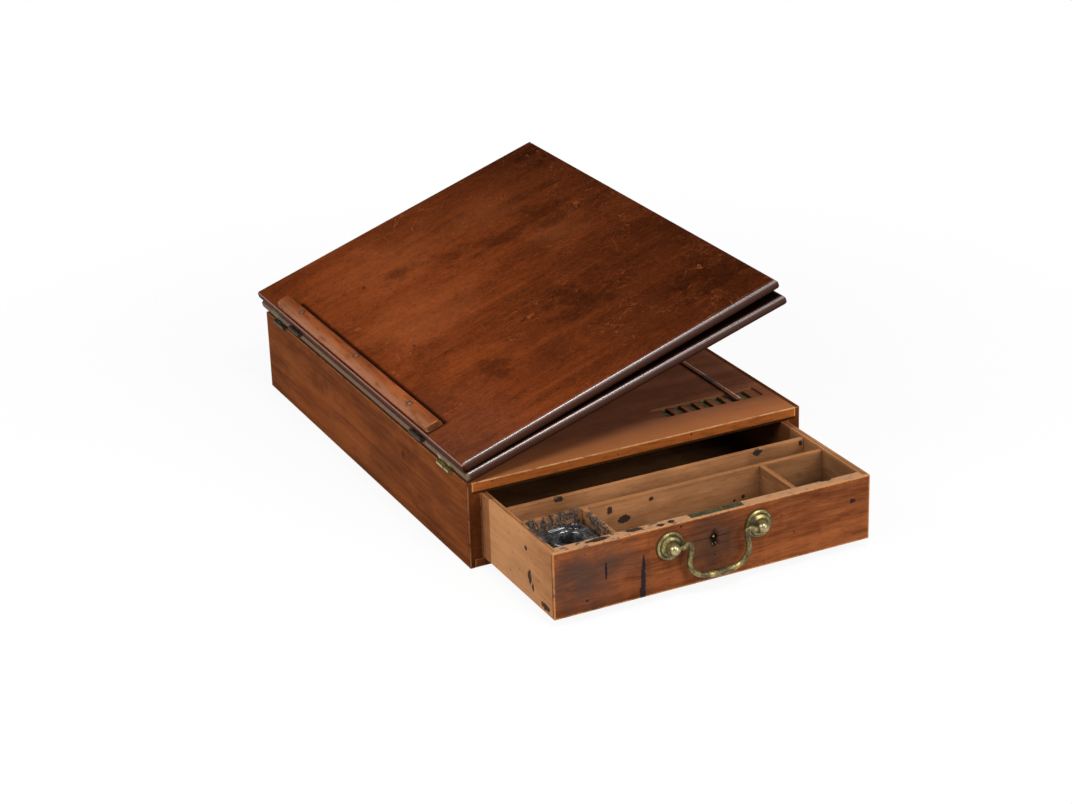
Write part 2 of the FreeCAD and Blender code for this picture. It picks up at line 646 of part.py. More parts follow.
def drawer_walls():
    """Makes the drawer's front, lapped sides, back and grooved-in bottom."""
    front = box("front_blank", ("front_inner", "drawer_face"), ("-drawer_half", "drawer_half"),
                ("drawer_base", "drawer_top"))
    cutters = [box(f"front_lap_{index}", ("front_inner", "drawer_face - front_lap"), span,
                   ("drawer_base", "drawer_top")) for index, span in enumerate(SIDE_SPANS)]
    cutters.append(box("front_groove", ("front_inner", "front_inner + groove_deep"),
                       ("-side_inner", "side_inner"), ("floor_under", "floor_top")))
    cutters.append(box("lock_mortise", ("front_inner", "lock_face"), LOCK_SPAN,
                       ("drawer_top - lock_height", "drawer_top")))
    cutters += keyhole("front_key", "lock_face", "drawer_face")
    cutters += [rod(f"post_hole_{index}", "x", "post_radius", ("front_inner", y, "rose_z"), "front_thick")
                for index, y in enumerate(POST_Y)]
    piece("drawer_front", cut("drawer_front", front, cutters))
    section = [("drawer_half", "drawer_base"), ("drawer_half", "drawer_top"), ("side_inner", "drawer_top"),
               ("side_inner", "floor_top"), ("side_inner + groove_deep", "floor_top"),
               ("side_inner + groove_deep", "floor_under"), ("side_inner", "floor_under"),
               ("side_inner", "drawer_base")]
    length = "drawer_face - front_lap - (drawer_rear)"
    for name, sign in (("near", "-"), ("far", "")):
        outline = [(f"{sign}({y})", z) for y, z in section]
        piece(f"drawer_{name}_side", extrusion(f"{name}_side", "YZ_Plane", outline, "drawer_rear", length))
    piece("drawer_back", box("drawer_back", ("drawer_rear", "drawer_rear + side_thick"),
                             ("-side_inner", "side_inner"), ("floor_top", "drawer_top - back_drop")))
    board = box("floor_board", ("drawer_rear", "front_inner + groove_deep"),
                ("-side_inner - groove_deep", "side_inner + groove_deep"), ("floor_under", "floor_top"))
    corners = [box(f"floor_corner_{index}", ("front_inner", "front_inner + groove_deep"), span,
                   ("floor_under", "floor_top")) for index, span in enumerate(SIDE_SPANS)]
    piece("drawer_bottom", cut("drawer_bottom", board, corners))


def drawer_dividers():
    """Makes the fixed dividers: a pen tray across the drawer and two cross walls in front of it."""
    heights = ("floor_top", "divider_top")
    across = ("-side_inner", "side_inner")
    piece("pen_tray_back", box("pen_tray_back", ("pen_back", "pen_back + divider_thick"), across, heights))
    piece("pen_tray_front", box("pen_tray_front", ("pen_front", "ink_left"), across, heights))
    for name, y in (("inkwell_divider", "ink_divider_y"), ("end_divider", "end_divider_y")):
        span = (f"{y} - divider_thick / 2", f"{y} + divider_thick / 2")
        piece(name, box(name, ("ink_left", "front_inner"), span, heights))


def inkwell():
    """Makes the moulded glass inkwell: a rounded block with a rimmed well and a quill hole."""
    low_x = "ink_left + well_gap"
    high_x = "front_inner - well_gap"
    low_y = "-side_inner + well_gap"
    high_y = "ink_divider_y - divider_thick / 2 - well_gap"
    outline = [(low_x, low_y), (high_x, low_y), (high_x, high_y), (low_x, high_y)]
    body = extrusion("glass_block", "XY_Plane", outline, "floor_top", "well_top - (floor_top)")
    base = value("floor_top")
    rounded(body, "glass_round", lambda edge: edge.BoundBox.ZMax > base + 0.01)
    centre = (f"(({low_x}) + ({high_x})) / 2", f"(({low_y}) + ({high_y})) / 2")
    rim = rod("well_rim", "z", "well_radius + well_rim", (*centre, "well_top - glass_round"),
              "glass_round + well_rim")
    well = rod("well_hollow", "z", "well_radius", (*centre, "well_top - well_deep"),
               "well_deep + 2 * glass_round")
    quill_at = (f"{low_x} + quill_from_left", f"{high_y} - quill_from_divider", "well_top - quill_deep")
    quill = rod("quill_hole", "z", "quill_radius", quill_at, "quill_deep + glass_round")
    piece("inkwell", cut("inkwell", fuse("glass_solid", [body, rim]), [well, quill]))


def keyhole(name, x_low, x_high):
    """Makes the cutters of a keyhole: a round with a slot below it."""
    round_part = rod(f"{name}_round", "x", "key_radius", (x_low, "key_y", "key_z"), f"({x_high}) - ({x_low})")
    slot = box(f"{name}_slot", (x_low, x_high), ("key_y - key_slot_width / 2", "key_y + key_slot_width / 2"),
               ("key_z - key_slot_drop", "key_z"))
    return [round_part, slot]


def lock():
    """Makes the drawer lock: a case let into the front, its key pin and the sliding bolt."""
    shell = box("lock_shell", ("lock_face - lock_thick", "lock_face"), LOCK_SPAN,
                ("drawer_top - lock_height", "drawer_top"))
    slot = box("bolt_slot", ("lock_x - bolt_thick / 2 - bolt_gap", "lock_x + bolt_thick / 2 + bolt_gap"),
               ("lock_y - bolt_width / 2 - bolt_gap", "lock_y + bolt_width / 2 + bolt_gap"),
               ("drawer_top - bolt_height - 2 * bolt_gap", "drawer_top"))
    floor = "lock_face - lock_thick + selvedge_thick"
    piece("lock_case", cut("lock_case", shell, [slot] + keyhole("lock_key", floor, "lock_face")))
    piece("lock_key_pin", rod("lock_key_pin", "x", "key_pin_radius", (floor, "key_y", "key_z"),
                              "lock_thick - selvedge_thick + lock_set_back / 2"))
    piece("lock_bolt", box("lock_bolt", ("lock_x - bolt_thick / 2", "lock_x + bolt_thick / 2"),
                           ("lock_y - bolt_width / 2", "lock_y + bolt_width / 2"),
                           ("drawer_top - bolt_gap - bolt_height", "drawer_top - bolt_gap")))


POST_Y = ("key_y - rose_spacing / 2", "key_y + rose_spacing / 2")
# Shares of the rose's width from the post and of its radius above the drawer's face.
ROSE_PROFILE = ((0, 0.0), (1.0, 0.0), (1.0, 0.10), (0.86, 0.17), (0.74, 0.17), (0.62, 0.31), (0.40, 0.42),
                (0, 0.42))
# Shares of half the posts' spacing and of the bail's drop, from one end to the middle.
BAIL_HALF = ((0.74, 0.03), (0.64, 0.055), (0.575, -0.02), (0.585, -0.15), (0.625, -0.30), (0.64, -0.42),
             (0.605, -0.62), (0.49, -0.83), (0.28, -0.965), (0.0, -1.0))


def handle():
    """Makes the swan-neck bail, its posts, stepped roses and nuts."""
    roses = []
    posts = []
    nuts = []
    points = [(f"post_radius + (rose_radius - post_radius) * {out}", f"rose_radius * {rise}")
              for out, rise in ROSE_PROFILE]
    for index, (y, inward) in enumerate(zip(POST_Y, (1, -1))):
        seat = ball(f"rose_seat_{index}", "ball_radius + ball_seat_gap", ("bail_x", y, "rose_z"))
        blank = turned(f"rose_blank_{index}", points, ("drawer_face", y, "rose_z"))
        roses.append(cut(f"rose_{index}", blank, [seat]))
        shank = rod(f"post_shank_{index}", "x", "post_radius", ("front_inner - nut_thick", y, "rose_z"),
                    "front_thick + nut_thick + post_reach")
        knob = ball(f"post_ball_{index}", "ball_radius", ("bail_x", y, "rose_z"))
        mouth = f"{y} - bail_pin_depth" if inward > 0 else f"{y} - 2 * ball_radius"
        socket = rod(f"post_socket_{index}", "y", "bail_pin_radius + bail_pin_gap", ("bail_x", mouth, "rose_z"),
                     "2 * ball_radius + bail_pin_depth")
        posts.append(cut(f"post_{index}", fuse(f"post_solid_{index}", [shank, knob]), [socket]))
        ring = rod(f"nut_ring_{index}", "x", "nut_radius", ("front_inner - nut_thick", y, "rose_z"),
                   "nut_thick")
        nuts.append(cut(f"nut_{index}", ring, [shank]))
    piece("handle_roses", group("handle_roses", roses))
    piece("handle_posts", group("handle_posts", posts))
    piece("handle_nuts", group("handle_nuts", nuts))
    piece("handle_bail", bail())


def bail():
    """Sweeps a round along a smooth swan-neck curve, swelling to the middle, with a pin at each end."""
    half = value("rose_spacing / 2")
    drop = value("bail_drop")
    thin = value("bail_radius")
    middle = Vector(value("bail_x"), value("key_y"), value("rose_z"))
    right = [middle + Vector(0, u * half, v * drop) for u, v in BAIL_HALF]
    left = [middle + Vector(0, -u * half, v * drop) for u, v in reversed(BAIL_HALF[:-1])]
    curve = Part.BSplineCurve()
    curve.interpolate(right + left)
    sweep = Part.BRepOffsetAPI.MakePipeShell(Part.Wire(curve.toShape()))
    sweep.setFrenetMode(False)
    for share, swell in ((0, 0), (0.25, 0), (0.5, value("bail_swell")), (0.75, 0), (1, 0)):
        at = curve.FirstParameter + (curve.LastParameter - curve.FirstParameter) * share
        circle = Part.Circle(curve.value(at), Vector(*curve.tangent(at)[0]), thin + swell)
        sweep.add(Part.Wire(circle.toShape()))
    sweep.build()
    sweep.makeSolid()
    end_u, end_v = BAIL_HALF[0]
    pin_length = half * (1 - end_u) + value("bail_pin_depth") / 2 + thin / 2
    ends = []
    for side in (1, -1):
        ends.append(Part.makeSphere(thin, middle + Vector(0, side * half * end_u, end_v * drop)))
        inner = middle + Vector(0, side * (half * end_u - thin / 2), 0)
        ends.append(Part.makeCylinder(value("bail_pin_radius"), pin_length, inner, Vector(0, side, 0)))
    return solid_feature("handle_bail", sweep.shape().multiFuse(ends))


case_cut, slope_leaf_cut = slope_hinges()
lower_hinge_cut, upper_hinge_cut = leaf_hinges()
slope_prop_cut = slope_prop()
reading_prop_cut = reading_prop()
case(case_cut)
lower_leaf(slope_leaf_cut + lower_hinge_cut + slope_prop_cut)
upper_leaf(upper_hinge_cut + reading_prop_cut)
drawer_walls()
drawer_dividers()
inkwell()
lock()
handle()
doc.recompute()

failed = [item.Name for item in doc.Objects if {"Invalid", "Error"} & set(item.State)]
if failed:
    raise RuntimeError(f"features failed: {failed}")
for solid in pieces:
    if solid.Shape.isNull() or not solid.Shape.isValid():
        raise RuntimeError(f"{solid.Label} is not a sound solid")

os.makedirs("parts", exist_ok=True)
for solid in pieces:
    solid.Shape.exportStep(f"parts/{solid.Label}.step")
    print(f"{solid.Label}: {len(solid.Shape.Solids)} solid(s), {solid.Shape.Volume / 1000:.2f} cm3")
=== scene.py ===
"""Looks of a portable writing slope with a side drawer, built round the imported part."""
import functools
import math

import bpy
import numpy as np
from bpy.props import FloatProperty, FloatVectorProperty, PointerProperty
from bpy.types import Operator, Panel, PropertyGroup
from mathutils import Matrix, Vector


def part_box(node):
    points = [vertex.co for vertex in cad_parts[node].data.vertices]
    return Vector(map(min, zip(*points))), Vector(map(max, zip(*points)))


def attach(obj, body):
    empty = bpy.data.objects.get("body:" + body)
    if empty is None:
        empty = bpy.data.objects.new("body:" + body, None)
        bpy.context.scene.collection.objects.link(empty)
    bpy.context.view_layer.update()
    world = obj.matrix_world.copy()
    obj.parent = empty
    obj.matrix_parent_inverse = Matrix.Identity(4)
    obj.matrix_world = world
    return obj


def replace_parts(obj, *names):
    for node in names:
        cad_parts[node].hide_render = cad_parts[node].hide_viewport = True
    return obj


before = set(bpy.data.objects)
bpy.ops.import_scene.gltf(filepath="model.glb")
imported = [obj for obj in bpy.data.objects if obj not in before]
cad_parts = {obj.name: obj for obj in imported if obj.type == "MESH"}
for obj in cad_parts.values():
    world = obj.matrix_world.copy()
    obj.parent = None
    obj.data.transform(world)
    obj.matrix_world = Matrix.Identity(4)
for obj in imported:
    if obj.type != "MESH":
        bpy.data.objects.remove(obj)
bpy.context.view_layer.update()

bl_info = {
    "name": "Writing slope looks",
    "version": (1, 0, 0),
    "blender": (4, 5, 0),
    "location": "View3D > Sidebar > Slope",
    "description": "Worn mahogany, aged brass, ink and glass for a portable writing slope",
    "category": "Object",
}

MM = 0.001
TO_MM = 1000.0
X, Y, Z = 0, 1, 2

# Lengths on the object are in millimetres; the camera, the lights and the floor are in metres.
# Hinge axes and slopes of the two leaves, and half their width.
LOWER_AXIS = (0.0, -171.8, 82.8)
LOWER_SLOPE = math.radians(17.84)
UPPER_AXIS = (0.0, -175.354, 93.842)
UPPER_SLOPE = math.radians(19.03)
LEAF_HALF = 250.75
# The drawer's face, and the handle's plane, middle, height and half the distance between its posts.
DRAWER_FACE = 384.0
HANDLE_X = 393.0
HANDLE_Y = -1.75
HANDLE_Z = 51.3
POST_HALF = 43.75


def tone(name, text, colour):
    """A colour property in linear light."""
    return FloatVectorProperty(
        name=name, description=text, default=colour, size=3, min=0.0, max=1.0, subtype="COLOR")


class SlopeWoods(PropertyGroup):
    """Colours of the woods and of what has marked them."""
    leaf_dark: tone("Leaf dark", "Dark figure of the two leaves", (0.164, 0.0325, 0.0072))
    leaf_light: tone("Leaf light", "Light figure of the two leaves", (0.240, 0.0500, 0.0104))
    # The leaf edge colour is painted shade: the bullnose is painted dark for its shaded, darkly reflecting
    # sides.
    leaf_edge_shade: tone("Leaf edge", "Handled bullnose of the leaves", (0.045, 0.0170, 0.0100))
    case_dark: tone("Case dark", "Dark streaks of the case", (0.128, 0.034, 0.010))
    case_light: tone("Case light", "Light streaks of the case", (0.228, 0.064, 0.017))
    top_dark: tone("Top dark", "Dark streaks of the case top", (0.170, 0.060, 0.030))
    top_light: tone("Top light", "Light streaks of the case top", (0.250, 0.090, 0.044))
    strip: tone("Top end", "Worn front end of the case top", (0.270, 0.074, 0.015))
    front_dark: tone("Front dark", "Dark figure of the drawer front", (0.125, 0.035, 0.012))
    front_light: tone("Front light", "Light figure of the drawer front", (0.243, 0.073, 0.023))
    ledge_dark: tone("Ledge dark", "Dark streaks of the book ledge", (0.180, 0.046, 0.015))
    ledge_light: tone("Ledge light", "Light streaks of the book ledge", (0.380, 0.102, 0.029))
    lining_dark: tone("Lining dark", "Dark streaks of the drawer lining", (0.265, 0.108, 0.042))
    lining_light: tone("Lining light", "Light streaks of the drawer lining", (0.430, 0.196, 0.082))
    worn: tone("Worn arris", "Bare wood along worn arrises", (0.450, 0.200, 0.070))
    ink: tone("Ink", "Dried ink", (0.010, 0.010, 0.013))


class SlopeMetals(PropertyGroup):
    """Colours of the brass and of its tarnish."""
    brass: tone("Brass", "Rubbed brass", (0.530, 0.415, 0.150))
    # Pale brass is painted light: a paler copy of the brass that makes the post balls look evenly lit.
    pale: tone("Pale brass", "Silvery brass of the worn balls", (0.520, 0.470, 0.300))
    tarnish: tone("Tarnish", "Brown tarnish in the hollows", (0.058, 0.045, 0.019))
    verdigris: tone("Verdigris", "Green-grey crust on the lock's edge", (0.090, 0.100, 0.060))
    # The glass colour is the lighter grey of the glass's mottling, painted reflection.
    glass: tone("Glass", "Grey-green glass", (0.125, 0.128, 0.126))


class SlopeStage(PropertyGroup):
    """Camera and light."""
    lens: FloatProperty(
        name="Lens", description="Focal length on a 36 mm sensor", default=83.008, unit="CAMERA")
    place: FloatVectorProperty(
        name="Place", description="Camera place",
        default=(2.03565, -0.96189, 0.98691), size=3, subtype="TRANSLATION")
    ahead: FloatVectorProperty(
        name="Ahead", description="Camera's line of sight",
        default=(-0.82966751, 0.39934471, -0.39009694), size=3, subtype="DIRECTION")
    above: FloatVectorProperty(
        name="Above", description="Camera's upward direction",
        default=(-0.33647564, 0.19987352, 0.92023623), size=3, subtype="DIRECTION")
    overhead: FloatProperty(
        name="Overhead", description="Power of the overhead panel", default=17.0, unit="POWER")
    left: FloatProperty(
        name="Left", description="Power of the panel on the writer's side", default=29.0, unit="POWER")
    right: FloatProperty(
        name="Right", description="Power of the panel on the drawer's side", default=34.0, unit="POWER")
    ambient: FloatProperty(name="Ambient", description="Even light from all round", default=0.26)


class Field:
    """One number at each shaded point, held as a node socket, with the usual arithmetic."""

    def __init__(self, graph, socket):
        self.graph, self.socket = graph, socket

    def __add__(self, other):
        return self.graph.maths("ADD", self, other)

    def __radd__(self, other):
        return self.graph.maths("ADD", other, self)

    def __sub__(self, other):
        return self.graph.maths("SUBTRACT", self, other)

    def __rsub__(self, other):
        return self.graph.maths("SUBTRACT", other, self)

    def __mul__(self, other):
        return self.graph.maths("MULTIPLY", self, other)

    def __rmul__(self, other):
        return self.graph.maths("MULTIPLY", other, self)

    def __truediv__(self, other):
        return self.graph.maths("DIVIDE", self, other)

    def __rtruediv__(self, other):
        return self.graph.maths("DIVIDE", other, self)

    def __pow__(self, other):
        return self.graph.maths("POWER", self, other)

    def __abs__(self):
        return self.graph.maths("ABSOLUTE", self)

    def least(self, other):
        """The smaller of the two."""
        return self.graph.maths("MINIMUM", self, other)

    def most(self, other):
        """The larger of the two."""
        return self.graph.maths("MAXIMUM", self, other)

    def rise(self, low, high):
        """0 below low, 1 above high, and smooth between them."""
        made = self.graph.node("ShaderNodeMapRange", {"interpolation_type": "SMOOTHSTEP"},
                               {"Value": self, "From Min": low, "From Max": high})
        return Field(self.graph, made.outputs["Result"])

    def fall(self, low, high):
        """1 below low, 0 above high, and smooth between them."""
        return 1.0 - self.rise(low, high)


class Graph:
    """The node tree of a material or of the world, filled by formulas over coordinates."""

    def __init__(self, owner):
        self.owner = owner
        owner.use_nodes = True
        self.tree = owner.node_tree
        self.tree.nodes.clear()

    def node(self, kind, settings, values):
        """A node of any kind: its settings first, then its socket values and links."""
        made = self.tree.nodes.new(kind)
        for key, setting in settings.items():
            setattr(made, key, setting)
        sockets = {s.identifier: s for s in made.inputs}
        for key, value in values.items():
            if isinstance(value, Field):
                value = value.socket
            if isinstance(value, bpy.types.NodeSocket):
                self.tree.links.new(value, sockets[key])
            elif sockets[key].type == "RGBA":
                sockets[key].default_value = (*value[:3], 1.0)
            else:
                sockets[key].default_value = value
        return made

    def maths(self, operation, *values):
        """Scalar arithmetic."""
        made = self.node("ShaderNodeMath", {"operation": operation},
                         dict(zip(("Value", "Value_001", "Value_002"), values)))
        return Field(self, made.outputs["Value"])

    def vector(self, operation, first, second):
        """Vector arithmetic on two vectors."""
        made = self.node("ShaderNodeVectorMath", {"operation": operation},
                         {"Vector": first, "Vector_001": second})
        return made.outputs["Value" if operation in ("LENGTH", "DISTANCE", "DOT_PRODUCT") else "Vector"]

    def place(self, axis=(0.0, 0.0, 0.0), slope=0.0):
        """Millimetres in a frame whose origin is axis and which is turned by slope about x."""
        source = self.node("ShaderNodeTexCoord", {}, {}).outputs["Object"]
        scaled = self.vector("MULTIPLY", source, (TO_MM,) * 3)
        turned = self.node("ShaderNodeMapping", {"vector_type": "TEXTURE"},
                           {"Vector": scaled, "Location": axis, "Rotation": (slope, 0.0, 0.0)})
        return turned.outputs["Vector"]

    def along(self, place, axis):
        """place with its axes changed round so that axis comes first."""
        parts = self.split(place)
        order = [parts[(axis + i) % 3].socket for i in range(3)]
        return self.node("ShaderNodeCombineXYZ", {}, dict(zip("XYZ", order))).outputs["Vector"]

    def split(self, place):
        """The three numbers of a vector."""
        made = self.node("ShaderNodeSeparateXYZ", {}, {"Vector": place})
        return [Field(self, made.outputs[k]) for k in "XYZ"]

    def noise(self, place, stretch, detail=3.0, roughness=0.55, twist=0.0, shift=0.0):
        """Cloud noise about 0.5, with stretch as its waves per millimetre on each axis."""
        moved = self.node("ShaderNodeVectorMath", {"operation": "MULTIPLY_ADD"},
                          {"Vector": place, "Vector_001": stretch,
                           "Vector_002": (shift, 2.7 * shift, -1.3 * shift)})
        made = self.node("ShaderNodeTexNoise", {"noise_dimensions": "3D"},
                         {"Vector": moved.outputs["Vector"], "Scale": 1.0, "Detail": detail,
                          "Roughness": roughness, "Distortion": twist})
        return Field(self, made.outputs[0])

    def spots(self, place, pitch, size, share, shift=0.0):
        """1 in ragged spots up to size across, in a share of cells of that pitch, 0 between them."""
        torn = (self.noise(place, (2.2 / size,) * 3, 3.0) - 0.5) * (0.9 * size)
        moved = self.node("ShaderNodeVectorMath", {"operation": "MULTIPLY_ADD"},
                          {"Vector": place, "Vector_001": (1.0 / pitch,) * 3, "Vector_002": (shift,) * 3})
        made = self.node("ShaderNodeTexVoronoi", {"feature": "F1"},
                         {"Vector": moved.outputs["Vector"], "Scale": 1.0, "Randomness": 1.0})
        chance, girth, _ = self.split(made.outputs["Color"])
        away = Field(self, made.outputs["Distance"]) * pitch + torn
        reach = (girth * girth * 0.8 + 0.2) * (size * 0.5)
        return (away - reach).fall(-0.12, 0.12) * chance.fall(share - 0.01, share + 0.01)

    def blot(self, place, centre, radii, torn=0.35, waves=0.35, soft=0.2):
        """1 within an ellipsoid of radii about centre and 0 outside it, with a torn, soft rim."""
        reach = self.vector("DIVIDE", self.vector("SUBTRACT", place, centre), radii)
        away = Field(self, self.vector("LENGTH", reach, (0.0,) * 3))
        ragged = (self.noise(place, (waves,) * 3, 3.0) - 0.5) * (4.0 * torn)
        return (away + ragged).fall(1.0 - soft, 1.0 + 0.5 * soft)

    def arris(self, place, low, high):
        """Distance from the nearest edge of the box from low to high, in millimetres.

        On a face one of the three distances to the sides is 0, so the middle one of the three is meant."""
        sides = []
        for part, start, end in zip(self.split(place), low, high):
            sides.append(abs(part - 0.5 * (start + end)) * -1.0 + 0.5 * (end - start))
        a, b, c = sides
        return a.least(b).most(a.most(b).least(c))

    def mix(self, share, first, second, blend="MIX"):
        """first turning into second by share."""
        made = self.node("ShaderNodeMix", {"data_type": "RGBA", "blend_type": blend, "clamp_factor": True},
                         {"Factor_Float": share, "A_Color": first, "B_Color": second})
        return [s for s in made.outputs if s.identifier == "Result_Color"][0]

    def shade(self, share, colour, level):
        """colour scaled towards level of itself by share."""
        return self.mix(share, colour, (level,) * 3, "MULTIPLY")

    def surface(self, colour, roughness, height=None, depth=0.1, constants=None, metallic=0.0):
        """The material's surface: a principled shader with a bump of that depth in millimetres."""
        values = {"Base Color": colour, "Roughness": roughness, "Metallic": metallic}
        if height is not None:
            bump = self.node("ShaderNodeBump", {},
                             {"Height": height, "Distance": depth * MM, "Strength": 1.0})
            values["Normal"] = bump.outputs["Normal"]
        values.update(constants or {})
        shader = self.node("ShaderNodeBsdfPrincipled", {}, values)
        self.node("ShaderNodeOutputMaterial", {}, {"Surface": shader.outputs["BSDF"]})
        return self.owner


def paint(name):
    """An empty graph of a new material."""
    return Graph(bpy.data.materials.new(name))


def union(fields):
    """The largest of several fields at each point."""
    return functools.reduce(Field.most, fields)


# What the finishes have in common: French polish, satin and bare wood.
POLISH = {"Specular IOR Level": 0.02, "Coat Roughness": 0.29, "Coat IOR": 1.9}
SATIN = {"Specular IOR Level": 0.004}
BARE = {"Specular IOR Level": 0.01}


def timber(graph, place, grain, dark, light, shift=0.0, plain=0.5):
    """Colour and height of a board with its grain along that axis.

    tone = plain bands + (0.8 - plain) streaks + 0.2 fibres, each a noise drawn out along the grain;
    pores are the peaks of a still finer noise."""
    run = graph.along(place, grain)
    bands = graph.noise(run, (0.0045, 0.038, 0.038), 5.0, 0.6, 0.9, shift)
    streaks = graph.noise(run, (0.0110, 0.260, 0.260), 4.0, 0.6, 0.4, shift + 3.1)
    fibres = graph.noise(run, (0.0500, 1.500, 1.500), 2.0, 0.6, 0.0, shift + 5.3)
    pores = graph.noise(run, (0.0900, 2.200, 2.200), 1.0, 0.5, 0.0, shift + 7.9).rise(0.60, 0.72)
    depth = bands * plain + streaks * (0.8 - plain) + fibres * 0.2
    colour = graph.mix(depth.rise(0.36, 0.64), dark, light)
    colour = graph.shade(pores * 0.45, colour, 0.35)
    return colour, fibres * 0.5 - pores


def rub(graph, colour, edge, place, worn, width=1.2, share=0.75):
    """colour with a broken line of bare wood along the arrises."""
    broken = graph.noise(place, (0.09, 0.09, 0.09), 4.0, 0.7).rise(0.32, 0.50)
    ragged = (graph.noise(place, (0.45, 0.45, 0.45), 3.0, 0.6) - 0.5) * width
    return graph.mix((edge + ragged).fall(0.45 * width, width) * broken * share, colour, worn)


def skin(name, rings, material, body):
    """A closed, outward, smooth mesh over rings of points, each end closed by a fan, that rides on a body."""
    stations, around = rings.shape[:2]
    points = np.concatenate((rings.reshape(-1, 3), rings[0].mean(0)[None], rings[-1].mean(0)[None])) * MM
    here = np.arange(stations * around).reshape(stations, around)
    there = np.roll(here, -1, 1)
    quads = np.stack((here[:-1], there[:-1], there[1:], here[1:]), -1).reshape(-1, 4)
    first, last = stations * around, stations * around + 1
    start = np.stack((there[0], here[0], np.full(around, first)), -1)
    end = np.stack((here[-1], there[-1], np.full(around, last)), -1)
    corners = points[np.concatenate((quads[:, [0, 1, 2]], quads[:, [0, 2, 3]], start, end))]
    if np.einsum("ij,ij->", np.cross(corners[:, 0], corners[:, 1]), corners[:, 2]) < 0:
        quads, start, end = quads[:, ::-1], start[:, ::-1], end[:, ::-1]
    mesh = bpy.data.meshes.new(name)
    mesh.from_pydata(points.tolist(), [], quads.tolist() + start.tolist() + end.tolist())
    mesh.polygons.foreach_set("use_smooth", np.ones(len(mesh.polygons), bool))
    mesh.materials.append(material)
    made = bpy.data.objects.new(name, mesh)
    bpy.context.scene.collection.objects.link(made)
    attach(made, body)
    return made


def dress(name, material):
    """Gives the CAD node its material through the object's own slot."""
    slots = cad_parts[name].material_slots
    for entry in slots:
        entry.link = "OBJECT"
        entry.material = material


def soften(name, width):
    """Eases the arrises of the CAD node."""
    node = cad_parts[name]
    weld = node.modifiers.new("weld", "WELD")
    weld.merge_threshold = 1e-6
    ease = node.modifiers.new("ease", "BEVEL")
    ease.width = width * MM
    ease.segments = 3
    ease.limit_method = "ANGLE"
    ease.angle_limit = math.radians(40)
    ease.harden_normals = True


def box_mm(name):
    """The node's two corners in millimetres."""
    low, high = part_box(name)
    return tuple(c * TO_MM for c in low), tuple(c * TO_MM for c in high)


def turns(count):
    """That many even angles of one full turn, as a row."""
    return np.linspace(0.0, 2.0 * np.pi, count, endpoint=False)[None, :]


def signed(wave, power):
    """The size of a wave raised to a power, with its sign kept."""
    return np.sign(wave) * np.abs(wave) ** power


def woods():
    """The colours of the woods."""
    return bpy.context.scene.slope_woods


def metals():
    """The colours of the metals and the glass."""
    return bpy.context.scene.slope_metals


# Middles across and up a leaf, and half-widths, of its darker clouds and of its lighter patches.
LEAF_CLOUDS = (((-127.0, 115.0), (14.0, 18.0)), ((-106.0, 164.0), (17.0, 24.0)),
               ((-87.0, 214.0), (17.0, 28.0)), ((140.0, 96.0), (20.0, 16.0)),
               ((183.0, 302.0), (36.0, 32.0)), ((100.0, 206.0), (36.0, 34.0)),
               ((-86.0, 268.0), (34.0, 26.0)), ((-224.0, 323.0), (26.0, 14.0)))
LEAF_LIGHTS = (((-22.0, 88.0), (60.0, 60.0)), ((-158.0, 226.0), (40.0, 46.0)),
               ((-42.0, 262.0), (30.0, 34.0)), ((-150.0, 120.0), (60.0, 60.0)))
# Height of these patches in the leaf, and half their depth.
PATCH_HEIGHT = 5.0
PATCH_DEPTH = 60.0
# Waves per millimetre and twist of three sets of scratches.
SCRATCHES = (((0.030, 0.014, 0.02), 1.8), ((0.012, 0.034, 0.02), 1.4), ((0.050, 0.040, 0.02), 0.8))
# Places across the lower leaf's front, and half-widths, of green stains from the left hinge.
HINGE_STAINS = ((-209.0, 4.5), (-217.0, 3.0))
# Grey of a faint painted sheen near the leaf's front right.
LEAF_PAINTED_SHEEN = (0.36, 0.28, 0.22)
# Grey-beige of the painted reflection along the lower leaf's front bullnose.
PAINTED_BULLNOSE_SHEEN = (0.150, 0.108, 0.068)
HINGE_GREEN = (0.090, 0.150, 0.060)
# Colour of the painted highlight along the upper leaf's front arris.
PAINTED_FRONT_HIGHLIGHT = (0.340, 0.195, 0.145)


def leaf_patches(graph, place, spots, torn, waves):
    """1 in the leaf's patches, with soft torn rims."""
    return union(graph.blot(place, (*spot, PATCH_HEIGHT), (*half, PATCH_DEPTH), torn, waves, 0.9)
                 for spot, half in spots)


